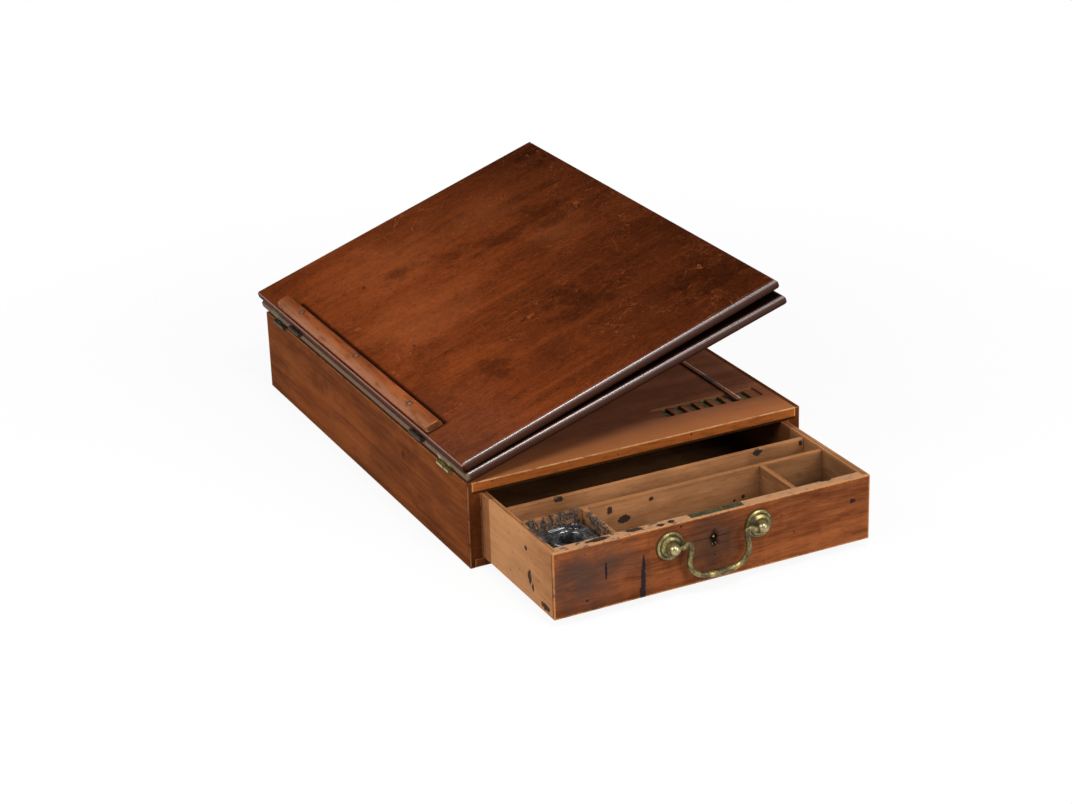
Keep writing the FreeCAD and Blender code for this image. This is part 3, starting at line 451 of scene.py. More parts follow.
def leaf_figure(graph, place, far, shift):
    """Colour, height and clouds of a leaf: grain, mottling, patches and specks, darker outwards as painted
    shade, with a faint painted sheen near the front right.
    """
    tones = woods()
    x, v, _ = graph.split(place)
    colour, height = timber(graph, place, Y, tones.leaf_dark, tones.leaf_light, shift, 0.55)
    mottle = graph.noise(place, (0.012, 0.008, 0.02), 7.0, 0.68, 1.0, shift + 1.0)
    cloud = graph.noise(place, (0.075, 0.050, 0.05), 6.0, 0.72, 0.8, shift + 2.0)
    colour = graph.shade(mottle.fall(0.36, 0.56) * 0.55, colour, 0.50)
    colour = graph.shade(cloud.fall(0.34, 0.50) * 0.5, colour, 0.55)
    light = leaf_patches(graph, place, LEAF_LIGHTS, 0.5, 0.03)
    dim = leaf_patches(graph, place, LEAF_CLOUDS, 1.0, 0.06)
    colour = graph.mix(light * 0.30, colour, tones.ledge_light)
    colour = graph.shade(dim * (0.45 + cloud * 0.35), colour, 0.30)
    # Painted shade: the leaf darkens with distance from a point left of its middle near the front, as the
    # light falls off.
    shadow = (abs(v - 80.0) / far * 0.95 + abs(x + 75.0) / (2 * LEAF_HALF) * 0.60).rise(0.02, 1.00)
    colour = graph.shade(shadow, colour, 0.34)
    speck = graph.noise(place, (0.30, 0.24, 0.4), 6.0, 0.85, 0.6, shift + 6.0)
    colour = graph.shade(speck.fall(0.34, 0.50) * 0.75, colour, 0.40)
    colour = graph.mix(speck.rise(0.54, 0.68) * 0.24, colour, tones.ledge_light)
    # Painted sheen: a faint grey blot near the front right of the leaf.
    painted_sheen_patch = graph.blot(place, (225.0, 20.0, 11.0), (110.0, 60.0, 60.0), 0.3, 0.02, 1.0)
    return graph.mix(painted_sheen_patch * 0.03, colour, LEAF_PAINTED_SHEEN), height, cloud


def leaf_marks(graph, place, shift):
    """Ink dots and hair-fine scratches of a leaf."""
    dots = graph.spots(place, 26.0, 2.6, 0.12, shift).most(graph.spots(place, 9.0, 1.0, 0.14, shift + 4.0))
    dots = dots.most(graph.blot(place, (-137.0, 80.0, 11.0), (2.6, 2.0, 9.0), 0.2))
    dots = dots.most(graph.blot(place, (21.0, 64.0, 11.0), (1.8, 1.6, 9.0), 0.3))
    lines = []
    for waves, twist in SCRATCHES:
        wave = graph.noise(place, waves, 2.0, 0.5, twist, shift + 9.0 * twist)
        lines.append(abs(wave - 0.5).fall(0.0010, 0.0048))
    used = graph.noise(place, (0.02, 0.02, 0.02), 3.0, 0.6, 0.0, shift).rise(0.48, 0.60)
    return dots, union(lines) * used


def leaf(name, axis, slope, far, top, shift, painted_light_and_stains):
    """Material of a leaf in its own frame: x across, v up the slope, w out of it.

    border is the distance from the nearest side, rim the bullnose, front the strip along the hinges and crest
    the lit line along the top of the bullnose; the strip round the book ledge is darkened as painted shadow
    and grime."""
    tones = woods()
    graph = paint(name + "_wood")
    place = graph.place(axis, slope)
    x, v, w = graph.split(place)
    colour, height, cloud = leaf_figure(graph, place, far, shift)
    dots, hair = leaf_marks(graph, place, shift)
    colour = graph.mix(dots * 0.75, colour, tones.ink)
    colour = graph.mix(hair * 0.42, colour, tones.ledge_light)
    border = (LEAF_HALF - abs(x)).least(v - 1.8).least(far - v)
    rim = border.fall(3.0, 4.6) * w.fall(top - 1.6, top - 0.4)
    front = v.fall(3.0, 7.0)
    # Painted shade: the bullnose turned towards the dark leaf edge colour, less along the front.
    colour = graph.mix(rim * (0.9 - front * 0.35), colour, tones.leaf_edge_shade)
    # Painted shade: the bullnose darker towards its foot, where it faces down.
    colour = graph.shade(rim * w.fall(1.0, 7.5) * 0.8, colour, 0.25)
    # The lower leaf gets painted shade and a painted reflection on its front, and real green stains from the
    # hinge.
    if painted_light_and_stains:
        # Painted shade: the lower leaf's top face near its sides darkened, for the shade of the gap under the
        # upper leaf.
        grime = border.rise(1.6, 2.8) * border.fall(12.0, 60.0) * w.rise(top - 1.2, top - 0.5)
        colour = graph.shade(grime, colour, 0.10)
        # Painted reflection: a grey-beige band along the middle of the lower leaf's front bullnose.
        band = rim * front * w.rise(4.2, 6.2) * w.fall(9.4, 10.4)
        colour = graph.mix(band * 0.8, colour, PAINTED_BULLNOSE_SHEEN)
        for across, wide in HINGE_STAINS:
            green = graph.blot(place, (across, 3.0, 6.0), (wide, 8.0, 9.0), 0.4, 0.2)
            colour = graph.mix(green * 0.6, colour, HINGE_GREEN)
    else:
        # Painted shade: the lower part of the upper leaf's front edge darkened, for the dark gap between the
        # leaves.
        colour = graph.shade(front * w.fall(top - 4.6, top - 2.8) * 0.9, colour, 0.35)
        # Painted highlight: a pale line just below the top of the upper leaf's front bullnose.
        brow = front * w.rise(top - 2.7, top - 2.2) * w.fall(top - 1.7, top - 1.2)
        colour = graph.mix(brow * 0.7, colour, PAINTED_FRONT_HIGHLIGHT)
    # Painted shadow and grime: a dark strip round the foot of the book ledge.
    ledge_shadow_and_grime = x.rise(-178.0, -170.0) * x.fall(175.0, 182.0) * v.rise(3.0, 4.4) * v.fall(23.0, 27.0)
    colour = graph.shade(ledge_shadow_and_grime * 0.92, colour, 0.10)
    crest = border.rise(0.1, 0.7) * border.fall(3.4, 4.2) * w.rise(top - 2.8, top - 1.9)
    coat = (0.03 + rim * w.rise(4.0, 8.5) * 0.14 + crest * x.rise(150.0, 240.0) * 0.66) * (1.0 - front)
    gloss = 0.40 + cloud * 0.16 + dots * 0.2
    relief = (height - hair * 2.0) * border.rise(6.0, 10.0)
    return graph.surface(colour, gloss, relief, 0.04, {**POLISH, "Coat Weight": coat.least(1.0)})


class SLOPE_OT_leaves(Operator):
    """Polished and ink-marked mahogany on the two leaves"""
    bl_idname = "slope.leaves"
    bl_label = "Leaves"

    def execute(self, context):
        upper = leaf("upper_leaf", UPPER_AXIS, UPPER_SLOPE, far=339.3, top=11.1, shift=0.0, painted_light_and_stains=False)
        lower = leaf("lower_leaf", LOWER_AXIS, LOWER_SLOPE, far=341.8, top=11.3, shift=20.0, painted_light_and_stains=True)
        dress("upper_leaf", upper)
        dress("lower_leaf", lower)
        return {"FINISHED"}


def crusted(name, dark, light, metallic):
    """Metal under a crust whose colour goes from dark to light."""
    graph = paint(name)
    crust = graph.noise(graph.place(), (0.25, 0.25, 0.25), 5.0, 0.7)
    colour = graph.mix(crust.rise(0.38, 0.62), dark, light)
    return graph.surface(colour, 0.5 + crust * 0.3, crust, 0.2, metallic=metallic)


# The ledge's ends, its middle up the leaf, its foot, half its width and its height.
LEDGE_LEFT = -194.0
LEDGE_RIGHT = 176.0
LEDGE_MIDDLE = 12.4
LEDGE_FOOT = 11.15
LEDGE_HALF = 8.0
LEDGE_RISE = 6.55
# Steps in from an end, and how much the section shrinks at each.
END_STEPS = (0.0, 0.2, 0.7, 1.6)
END_SHRINK = (1.0, 0.5, 0.15, 0.0)
# Colour of the painted sheen along the ledge's front.
LEDGE_PAINTED_SHEEN = (0.300, 0.142, 0.074)
# Places of the pins across and up the leaf, and radii and heights of a pin's outline.
LEDGE_PINS = ((-143.8, 13.7), (-7.3, 15.6), (124.2, 12.7))
PIN_OUTLINE = ((0.2, 14.0), (2.2, 14.0), (2.3, 17.3), (2.2, 17.75), (1.6, 17.95), (0.2, 18.0))
PIN_DARK = (0.060, 0.054, 0.044)
PIN_LIGHT = (0.200, 0.190, 0.165)


class SLOPE_OT_ledge(Operator):
    """Paler book ledge with three old pins"""
    bl_idname = "slope.ledge"
    bl_label = "Book ledge"

    def lifted(self, x, v, w):
        """Points of the upper leaf's frame in the world: y = y0 + v cos - w sin, z = z0 + v sin + w cos."""
        x, v, w = np.broadcast_arrays(x, v, w)
        c = math.cos(UPPER_SLOPE)
        s = math.sin(UPPER_SLOPE)
        return np.stack((x, UPPER_AXIS[Y] + v * c - w * s, UPPER_AXIS[Z] + v * s + w * c), -1)

    def rail(self, material):
        """The ledge, along x over a flat foot, with eased ends.

        v = 12.4 + 8.0 c^0.55 and w = 11.15 + 6.55 s^0.7, with c the signed cosine of the turn and s its sine
        where that is above nought."""
        steps = np.array(END_STEPS)
        shrink = np.array(END_SHRINK)
        length = np.linspace(LEDGE_LEFT + 3.0, LEDGE_RIGHT - 3.0, 92)
        x = np.concatenate((LEDGE_LEFT + steps, length, (LEDGE_RIGHT - steps)[::-1]))[:, None]
        ease = np.concatenate((shrink, np.zeros(length.size), shrink[::-1]))[:, None]
        turn = turns(72)
        v = LEDGE_MIDDLE + (LEDGE_HALF - ease) * signed(np.cos(turn), 0.55)
        w = LEDGE_FOOT + (LEDGE_RISE - ease) * np.maximum(np.sin(turn), 0.0) ** 0.7
        return skin("ledge_rail", self.lifted(x, v, w), material, "upper_leaf")

    def pin(self, number, across, up, material):
        """A turned pin: each (r, w) of its outline is one ring square to the leaf."""
        radius, height = np.array(PIN_OUTLINE).T[:, :, None]
        turn = turns(32)
        rings = self.lifted(across + radius * np.cos(turn), up + radius * np.sin(turn), height)
        return skin("pin_%d" % number, rings, material, "upper_leaf")

    def wood(self):
        """Streaked wood under grime, with a painted sheen along its front, its near end darkened as painted
        shade, and dark rings round the pins.
        """
        tones = woods()
        graph = paint("ledge_wood")
        place = graph.place(UPPER_AXIS, UPPER_SLOPE)
        x, v, _ = graph.split(place)
        colour, height = timber(graph, place, X, tones.ledge_dark, tones.ledge_light, 40.0)
        grime = graph.noise(place, (0.03, 0.12, 0.12), 4.0, 0.6).rise(0.48, 0.66)
        colour = graph.shade(grime * 0.6, colour, 0.45)
        # Painted sheen: the front half of the ledge's top turned paler and greyer.
        sheen = v.fall(7.0, 13.0) * v.rise(4.6, 5.4) * (0.62 - grime * 0.40)
        colour = graph.mix(sheen, colour, LEDGE_PAINTED_SHEEN)
        colour = graph.shade(x.fall(-190.0, -120.0) * 0.45 + x.rise(110.0, 172.0) * 0.30, colour, 0.55)
        # Painted shade: the ledge's near end face darkened.
        colour = graph.shade(x.rise(174.6, 175.8) * 0.9, colour, 0.35)
        edge = graph.arris(place, (LEDGE_LEFT, 4.4, 11.1), (LEDGE_RIGHT, 20.4, 17.9))
        colour = rub(graph, colour, edge, place, tones.worn, 1.5, 0.45)
        for spot in LEDGE_PINS:
            ring = graph.blot(place, (*spot, 17.6), (4.6, 4.0, 5.0), 0.5, 0.3, 0.7)
            colour = graph.shade(ring * 0.85, colour, 0.20)
        polish = {**POLISH, "Coat Weight": 0.10 - grime * 0.05}
        return graph.surface(colour, 0.34 + grime * 0.15, height, 0.05, polish)

    def execute(self, context):
        material = self.wood()
        dress("book_ledge", material)
        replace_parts(self.rail(material), "book_ledge")
        crust = crusted("pin_crust", PIN_DARK, PIN_LIGHT, 0.4)
        dress("ledge_pins", crust)
        pins = [self.pin(number, *spot, crust) for number, spot in enumerate(LEDGE_PINS)]
        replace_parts(pins[0], "ledge_pins")
        return {"FINISHED"}


# The case's boards below its top, with the axes of their grain.
CASE_BOARDS = {
    "case_front_panel": X, "case_back_panel": X, "case_left_end": Y, "case_bottom": X, "drawer_stops": X,
}
# Middles and half-widths of dark patches on the front panel.
PANEL_PATCHES = (((-105.0, -170.0, 52.0), (26.0, 6.0, 9.0)), ((104.0, -170.0, 56.0), (3.0, 6.0, 4.5)))
# Colour of the painted light on the top near its end by the drawer.
PAINTED_TOP_LIGHT = (0.430, 0.150, 0.049)
# Near black of the painted shade deep in the notches.
NOTCH_PAINTED_SHADE = (0.050, 0.036, 0.018)
NOTCH_GREEN = (0.150, 0.128, 0.062)
TOP_ARRIS = (0.80, 0.46, 0.24)


class SLOPE_OT_case(Operator):
    """Streaked mahogany on the case, with its paler top and notches darkened as painted shade"""
    bl_idname = "slope.case"
    bl_label = "Case"

    def board(self, name, grain, shift):
        """Wood of a board below the top: streaked, darker towards its foot, spotted and rubbed."""
        tones = woods()
        graph = paint(name + "_wood")
        place = graph.place()
        x, _, z = graph.split(place)
        colour, height = timber(graph, place, grain, tones.case_dark, tones.case_light, shift)
        cloud = graph.noise(place, (0.012, 0.02, 0.03), 4.0, 0.6, 0.4, 60.0)
        colour = graph.shade(cloud.fall(0.36, 0.54) * 0.5, colour, 0.5)
        colour = graph.shade(z.fall(0.0, 14.0) * 0.45, colour, 0.55)
        if name == "case_front_panel":
            colour = graph.shade(x.rise(60.0, 240.0) * 0.22, colour, 0.45)
            colour = graph.shade(x.rise(243.0, 244.6) * 0.85, colour, 0.45)
            for spot, radii in PANEL_PATCHES:
                colour = graph.shade(graph.blot(place, spot, radii, 0.7, 0.06, 0.9) * 0.7, colour, 0.35)
        if name == "case_back_panel":
            colour = graph.shade(0.85, colour, 0.40)
        dots = graph.spots(place, 22.0, 2.4, 0.10, 3.0)
        colour = graph.mix(dots * 0.8, colour, tones.ink)
        edge = graph.arris(place, *box_mm(name))
        colour = rub(graph, colour, edge, place, tones.worn, 1.4, 0.35)
        return graph.surface(colour, 0.45 + cloud * 0.2, height, 0.06, SATIN)

    def top(self):
        """Wood of the top: paler towards its front end as painted light, whose arris is bright, with
        green-grey notches darkened as painted shade and the lower edge of its end painted dark as painted
        shade.
        """
        tones = woods()
        graph = paint("case_top_wood")
        place = graph.place()
        x, _, z = graph.split(place)
        colour, height = timber(graph, place, Y, tones.top_dark, tones.top_light, 110.0, 0.66)
        handled = graph.noise(place, (0.02, 0.02, 0.02), 4.0, 0.6).rise(0.42, 0.62)
        colour = graph.shade(handled * 0.35, colour, 0.55)
        face = x.rise(244.6, 245.6)
        colour = graph.mix(face * 0.95, colour, tones.strip)
        streaks = graph.noise(place, (0.3, 0.05, 0.4), 4.0, 0.65, 0.3, 14.0).fall(0.36, 0.54)
        colour = graph.shade(face * streaks * 0.6, colour, 0.5)
        # Painted light: the top paler towards its end by the drawer, where the light reaches under the leaf.
        near = x.rise(196.0, 243.0) * x.fall(244.6, 245.6)
        colour = graph.mix(near * 0.72, colour, PAINTED_TOP_LIGHT)
        # Painted shade: the notches below the rack's floor turned near black, with green-grey patches higher
        # up.
        notch = z.fall(80.2, 80.6) * x.fall(210.0, 212.0) * z.rise(73.0, 74.0)
        green = graph.noise(place, (0.2, 0.2, 0.2), 4.0, 0.6).rise(0.40, 0.60)
        colour = graph.mix(notch * 0.8, colour, NOTCH_PAINTED_SHADE)
        colour = graph.mix(notch * green * z.rise(77.0, 79.5) * 0.7, colour, NOTCH_GREEN)
        dots = graph.spots(place, 15.0, 2.6, 0.14, 5.0).most(graph.spots(place, 5.0, 2.0, 0.24, 15.0) * face)
        colour = graph.mix(dots * 0.85, colour, tones.ink)
        edge = graph.arris(place, *box_mm("case_top"))
        colour = rub(graph, colour, edge + x.fall(240.0, 243.0) * 9.0, place, tones.worn, 1.6, 0.9)
        broken = graph.noise(place, (0.05, 0.05, 0.05), 4.0, 0.7, 0.0, 3.0).rise(0.36, 0.56)
        bright = broken * z.rise(81.5, 82.1) * x.rise(244.9, 245.6)
        colour = graph.mix(bright * 0.45, colour, TOP_ARRIS)
        # Painted shade: the lower edge of the top's end painted near black, for the shade over the drawer.
        colour = graph.shade(z.fall(73.2, 74.2) * x.rise(240.0, 244.0) * 0.97, colour, 0.05)
        return graph.surface(colour, 0.48 + handled * 0.15, height, 0.06, SATIN)

    def execute(self, context):
        for number, (name, grain) in enumerate(CASE_BOARDS.items()):
            dress(name, self.board(name, grain, 60.0 + 7.0 * number))
            soften(name, 0.6)
        dress("case_top", self.top())
        soften("case_top", 0.5)
        return {"FINISHED"}


# The drawer's boards behind its front, with the axes of their grain.
LINING = {
    "drawer_near_side": X, "drawer_far_side": X, "drawer_back": Y, "drawer_bottom": Y, "pen_tray_back": Y,
    "pen_tray_front": Y, "inkwell_divider": X, "end_divider": X,
}
# Middles and half-widths of the ink blots on the lining.
TRAY_BLOTS = (((315.5, -52.2, 49.5), (4.0, 6.5, 4.2)), ((315.5, -66.9, 60.7), (4.0, 2.6, 4.0)),
              ((315.5, -25.0, 62.4), (4.0, 2.6, 2.0)), ((315.5, 68.1, 42.6), (4.0, 2.2, 1.8)),
              ((284.5, 101.4, 66.0), (4.0, 5.0, 3.2)), ((284.5, -100.0, 67.0), (4.0, 5.0, 2.6)),
              ((284.5, 147.0, 65.0), (4.0, 2.2, 2.6)), ((338.7, -156.6, 30.0), (3.4, 4.0, 7.5)),
              ((344.5, -156.6, 22.0), (2.2, 4.0, 4.0)), ((368.0, -156.6, 14.4), (8.0, 4.0, 3.6)),
              ((333.0, -156.6, 55.0), (3.0, 4.0, 2.2)))
SOOT_DARK = (0.016, 0.017, 0.018)
SOOT_LIGHT = (0.095, 0.088, 0.076)
SIDE_LIGHT = (0.56, 0.29, 0.13)


def inked(graph, place, colour, ink):
    """colour under the ink spilt round the well and spotted over the rest."""
    y = graph.split(place)[Y]
    inside = y.rise(-155.0, -151.5)
    spill = graph.blot(place, (345.0, -122.0, 48.0), (46.0, 42.0, 40.0), 0.5, 0.09) * inside
    cover = graph.noise(place, (0.24, 0.24, 0.20), 6.0, 0.75, 0.6, 9.0)
    crumbs = graph.noise(place, (0.5, 0.5, 0.4), 4.0, 0.7, 0.0, 4.0)
    soot = graph.mix(crumbs.rise(0.42, 0.62), SOOT_DARK, SOOT_LIGHT)
    colour = graph.mix(spill * cover.rise(0.38, 0.48) * 0.93, colour, soot)
    marks = graph.spots(place, 15.0, 3.4, 0.16, 7.0).most(graph.spots(place, 6.0, 1.5, 0.22, 8.0))
    marks = marks.most(graph.spots(place, 5.0, 2.0, 0.30, 11.0) * y.fall(-156.0, -154.6))
    for centre, radii in TRAY_BLOTS:
        marks = marks.most(graph.blot(place, centre, radii, 0.42, 0.32))
    return graph.mix(marks * 0.9, colour, ink)


# Middles and half-widths of the ink blots on the drawer's front and its top edge.
FRONT_BLOTS = (((384.0, -70.8, 38.0), (8.0, 1.7, 11.0)), ((384.0, -71.4, 26.0), (8.0, 2.5, 13.0)),
               ((384.0, -72.2, 13.0), (8.0, 3.0, 10.0)), ((384.0, -106.8, 42.5), (8.0, 1.2, 8.5)),
               ((384.0, 138.6, 49.4), (8.0, 3.4, 2.0)), ((384.0, -125.6, 19.2), (8.0, 1.6, 1.2)),
               ((377.0, -75.0, 70.6), (3.4, 9.0, 4.0)), ((380.0, -52.0, 70.6), (2.6, 4.0, 4.0)),
               ((378.4, -41.0, 70.6), (2.6, 3.4, 4.0)), ((374.2, 117.0, 70.6), (2.2, 6.0, 4.0)),
               ((378.0, -112.0, 70.6), (3.6, 12.0, 3.0)))
HANDLED_DARK = (0.058, 0.028, 0.018)
INKED_DARK = (0.050, 0.032, 0.026)
KEYHOLE_CHIP = (0.40, 0.29, 0.22)
FRONT_TOP = (0.47, 0.255, 0.130)
SPLASH_GREY = (0.045, 0.046, 0.056)


class SLOPE_OT_drawer(Operator):
    """Figured front, pale lining and spilt ink of the drawer"""
    bl_idname = "slope.drawer"
    bl_label = "Drawer"

    def lining(self, name, grain, shift):
        """Pale wood of a board behind the front, darker inside and in the corners as painted shade, with
        painted shadow and grime next to the case, and inked.
        """
        tones = woods()
        graph = paint(name + "_wood")
        place = graph.place()
        x, y, z = graph.split(place)
        colour, height = timber(graph, place, grain, tones.lining_dark, tones.lining_light, shift, 0.6)
        grime = graph.noise(place, (0.02, 0.02, 0.035), 4.0, 0.6, 0.3, 12.0).rise(0.45, 0.65)
        colour = graph.shade(grime * 0.45, colour, 0.55)
        outer = y.fall(-155.6, -154.6)
        # Painted shade: the inside faces darker towards the back, where they run under the case top.
        colour = graph.shade(x.fall(180.0, 330.0) * (1.0 - outer) * 0.35, colour, 0.5)
        colour = graph.mix(outer * x.fall(300.0, 380.0) * 0.30, colour, SIDE_LIGHT)
        colour = graph.shade(outer * x.rise(330.0, 384.0) * 0.34, colour, 0.5)
        # Painted shade: the tray's inside faces below the top edges darkened.
        tray = y.rise(10.0, 84.0) * z.fall(68.6, 69.0) * x.rise(300.0, 312.0)
        colour = graph.shade(tray * 0.45, colour, 0.5)
        # Painted shadow and grime: the drawer's boards darkened where they run into the case.
        colour = graph.mix(x.fall(260.5, 261.5) * x.rise(190.0, 250.0) * 0.65, colour, tones.case_dark)
        joint = abs(abs(y) - 153.3).fall(0.25, 0.7) * z.rise(70.0, 70.4)
        colour = graph.shade(joint * 0.7, colour, 0.3)
        # Painted shade: the end compartment darker below its top edges.
        colour = graph.shade(y.rise(86.0, 96.0) * z.fall(66.0, 69.6) * 0.45, colour, 0.42)
        # Painted shade: the inside faces darker lower down.
        colour = graph.shade(z.fall(18.0, 58.0) * y.rise(-154.0, -151.0) * 0.75, colour, 0.55)
        edge = graph.arris(place, *box_mm(name))
        colour = rub(graph, colour, edge, place, tones.worn, 1.0, 0.32)
        colour = inked(graph, place, colour, tones.ink)
        return graph.surface(colour, 0.62, height, 0.05, BARE)

    def front(self):
        """Wood of the front: flowing figure, dark where it was handled and inked, with a paler top edge."""
        tones = woods()
        graph = paint("drawer_front_wood")
        place = graph.place()
        x, y, z = graph.split(place)
        colour, height = timber(graph, place, Y, tones.front_dark, tones.front_light, 170.0, 0.66)
        cloud = graph.noise(place, (0.02, 0.012, 0.05), 5.0, 0.62, 0.8, 21.0)
        colour = graph.shade(cloud.fall(0.38, 0.56) * (0.15 + y.fall(-100.0, 20.0) * 0.50), colour, 0.45)
        handled = graph.blot(place, (DRAWER_FACE, -3.0, 42.0), (26.0, 30.0, 34.0), 0.25, 0.07, 0.8)
        colour = graph.mix(handled * 0.88, colour, HANDLED_DARK)
        flow = graph.noise(place, (0.02, 0.014, 0.085), 5.0, 0.62, 2.2, 33.0)
        colour = graph.shade(flow.fall(0.38, 0.52) * 0.5, colour, 0.45)
        colour = graph.mix(flow.rise(0.54, 0.68) * y.rise(20.0, 80.0) * 0.12, colour, tones.worn)
        flame = graph.noise(place, (0.02, 0.040, 0.012), 5.0, 0.6, 1.2, 27.0)
        colour = graph.shade(flame.fall(0.36, 0.56) * (0.12 + y.fall(0.0, 40.0) * 0.26), colour, 0.55)
        colour = graph.mix(flame.rise(0.50, 0.70) * y.rise(10.0, 60.0) * 0.05, colour, tones.worn)
        halo = graph.blot(place, (DRAWER_FACE, -126.0, 42.0), (20.0, 50.0, 28.0), 0.5, 0.05, 1.0)
        colour = graph.mix(halo * 0.72, colour, INKED_DARK)
        keyhole = graph.blot(place, (DRAWER_FACE, HANDLE_Y, 48.0), (12.0, 4.6, 8.5), 0.25, 0.2, 0.5)
        colour = graph.shade(keyhole * 0.85, colour, 0.14)
        chip = graph.blot(place, (DRAWER_FACE, HANDLE_Y, 42.6), (12.0, 2.0, 1.3), 0.2, 0.3)
        colour = graph.mix(chip * 0.7, colour, KEYHOLE_CHIP)
        colour = graph.mix(z.rise(69.8, 70.4) * 0.8, colour, FRONT_TOP)
        edge = graph.arris(place, *box_mm("drawer_front"))
        colour = rub(graph, colour, edge, place, tones.worn, 1.7, 0.7)
        splash = graph.noise(place, (0.22, 0.14, 0.22), 4.0, 0.7, 0.6, 31.0).fall(0.40, 0.46)
        splash = splash * z.rise(69.6, 70.4) * (0.25 + y.fall(-20.0, 0.0) * 0.60)
        colour = graph.mix(splash, colour, SPLASH_GREY)
        marks = graph.spots(place, 16.0, 3.0, 0.14, 2.0).most(graph.spots(place, 6.0, 1.2, 0.10, 6.0))
        for centre, radii in FRONT_BLOTS:
            marks = marks.most(graph.blot(place, centre, radii, 0.28, 0.3))
        colour = graph.mix(marks * 0.9, colour, tones.ink)
        colour = graph.mix(x.fall(373.4, 373.9), colour, tones.lining_dark)
        return graph.surface(colour, 0.45 + cloud * 0.2, height, 0.06, SATIN)

    def execute(self, context):
        for number, (name, grain) in enumerate(LINING.items()):
            dress(name, self.lining(name, grain, 130.0 + 5.0 * number))
            soften(name, 0.6)
        dress("drawer_front", self.front())
        soften("drawer_front", 0.6)
        return {"FINISHED"}


def brass(name, tarnished, rings=(), pale=0.0):
    """Aged brass: rubbed where it is handled and brown where it isn't.

    rings are radii and half-widths of dirt about the two posts; pale moves the rubbed colour towards silver,
    the paler brass that is painted light on the post balls.
    Brass that is much tarnished is brighter towards the drawer's end of the case."""
    tones = metals()
    bright = tuple(Vector(tones.brass).lerp(tones.pale, pale))
    graph = paint(name)
    place = graph.place()
    cloud = graph.noise(place, (0.12, 0.12, 0.12), 5.0, 0.65, 0.4)
    grain = graph.noise(place, (1.1, 1.1, 1.1), 4.0, 0.7)
    rubbed = (cloud * 0.7 + grain * 0.3).rise(tarnished - 0.30, tarnished + 0.02)
    x, y, z = graph.split(place)
    if tarnished > 0.75:
        rubbed = rubbed.most(x.rise(60.0, 120.0) * (grain + cloud).rise(0.80, 1.10) * 0.9)
    if rings:
        radius = ((abs(y - HANDLE_Y) - POST_HALF) ** 2.0 + (z - HANDLE_Z) ** 2.0) ** 0.5
        for middle, half in rings:
            dirt = (abs(radius - middle) + cloud - 0.5).fall(0.4 * half, 1.3 * half)
            rubbed = rubbed * (1.0 - dirt * 0.9)
    colour = graph.mix(rubbed, tones.tarnish, bright)
    pits = graph.spots(place, 3.2, 0.9, 0.30, 1.0)
    colour = graph.shade(pits * 0.7, colour, 0.35)
    roughness = 0.50 - rubbed * 0.18 + pits * 0.2
    metallic = (rubbed * 0.25 + 0.65) * (1.0 - pits * 0.5)
    return graph.surface(colour, roughness, grain * 0.4 - pits, 0.08, metallic=metallic)


# Half of the bail's middle line, as distances from its middle and heights above its axis.
BAIL_HALF = ((40.6, 0.0), (38.4, 0.0), (35.2, 0.3), (32.6, 1.6), (30.2, 2.0), (28.2, 0.6), (27.4, -2.4),
             (28.0, -6.8), (29.2, -12.0), (29.4, -16.5), (28.3, -20.8), (25.6, -25.0), (21.5, -28.3),
             (16.0, -30.6), (8.6, -31.8), (0.0, -32.2))
# Radii and half-widths of the dirty rings on a rose.
ROSE_RINGS = ((6.4, 1.2), (10.2, 0.8), (13.2, 0.7))


class SLOPE_OT_handle(Operator):
    """Aged brass of the swan-neck handle"""
    bl_idname = "slope.handle"
    bl_label = "Handle"

    def bail(self, material):
        """The bail: a round section along a curve in the plane x = 393, mirrored about y = -1.75.

        The curve is a Catmull-Rom one, p(t) = (2b + (c - a) t + (2a - 5b + 4c - d) t^2
        + (3b - 3c + d - a) t^3) / 2; the radius is 2.55, with a swell of 0.75 in the middle, two beads
        beside it and thin ends in the posts."""
        half = np.array(BAIL_HALF)
        knots = np.concatenate((half * (-1.0, 1.0), half[-2::-1]))
        knots = np.concatenate((2.0 * knots[:1] - knots[1:2], knots, 2.0 * knots[-1:] - knots[-2:-1]))
        t = np.linspace(0.0, 1.0, 12, endpoint=False)[None, :, None]
        a, b, c, d = (knots[i:len(knots) - 3 + i, None] for i in range(4))
        square = 2.0 * a - 5.0 * b + 4.0 * c - d
        cube = 3.0 * b - 3.0 * c + d - a
        curve = 0.5 * (2.0 * b + (c - a) * t + square * t ** 2 + cube * t ** 3)
        curve = np.concatenate((curve.reshape(-1, 2), knots[-2:-1]))
        steps = np.linalg.norm(np.diff(curve, axis=0), axis=1)
        run = np.concatenate(([0.0], np.cumsum(steps)))
        ahead = np.gradient(curve, axis=0)
        ahead /= np.linalg.norm(ahead, axis=1)[:, None]
        inner = np.clip((np.minimum(run, run[-1] - run) - 2.0) / 2.5, 0.0, 1.0)
        middle = np.abs(run - 0.5 * run[-1])
        swell = 0.75 * np.exp(-(middle / 9.0) ** 2)
        beads = 0.4 * np.exp(-((middle - 14.5) / 0.9) ** 2)
        radius = (1.45 + 1.1 * inner + swell + beads)[:, None]
        turn = turns(28)
        up = radius * np.sin(turn)
        x = HANDLE_X + radius * np.cos(turn)
        y = HANDLE_Y + curve[:, :1] - ahead[:, 1:] * up
        z = HANDLE_Z + curve[:, 1:] + ahead[:, :1] * up
        return skin("bail_rod", np.stack((x, y, z), -1), material, "handle_bail")

    def execute(self, context):
        dress("handle_roses", brass("handle_roses_brass", 0.67, ROSE_RINGS))
        material = brass("handle_brass", 0.72)
        for name in ("handle_nuts", "handle_bail"):
            dress(name, material)
        # Painted light: the post balls in a paler, less metallic copy of the brass.
        dress("handle_posts", brass("post_brass", 0.61, pale=0.5))
        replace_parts(self.bail(material), "handle_bail")
        return {"FINISHED"}


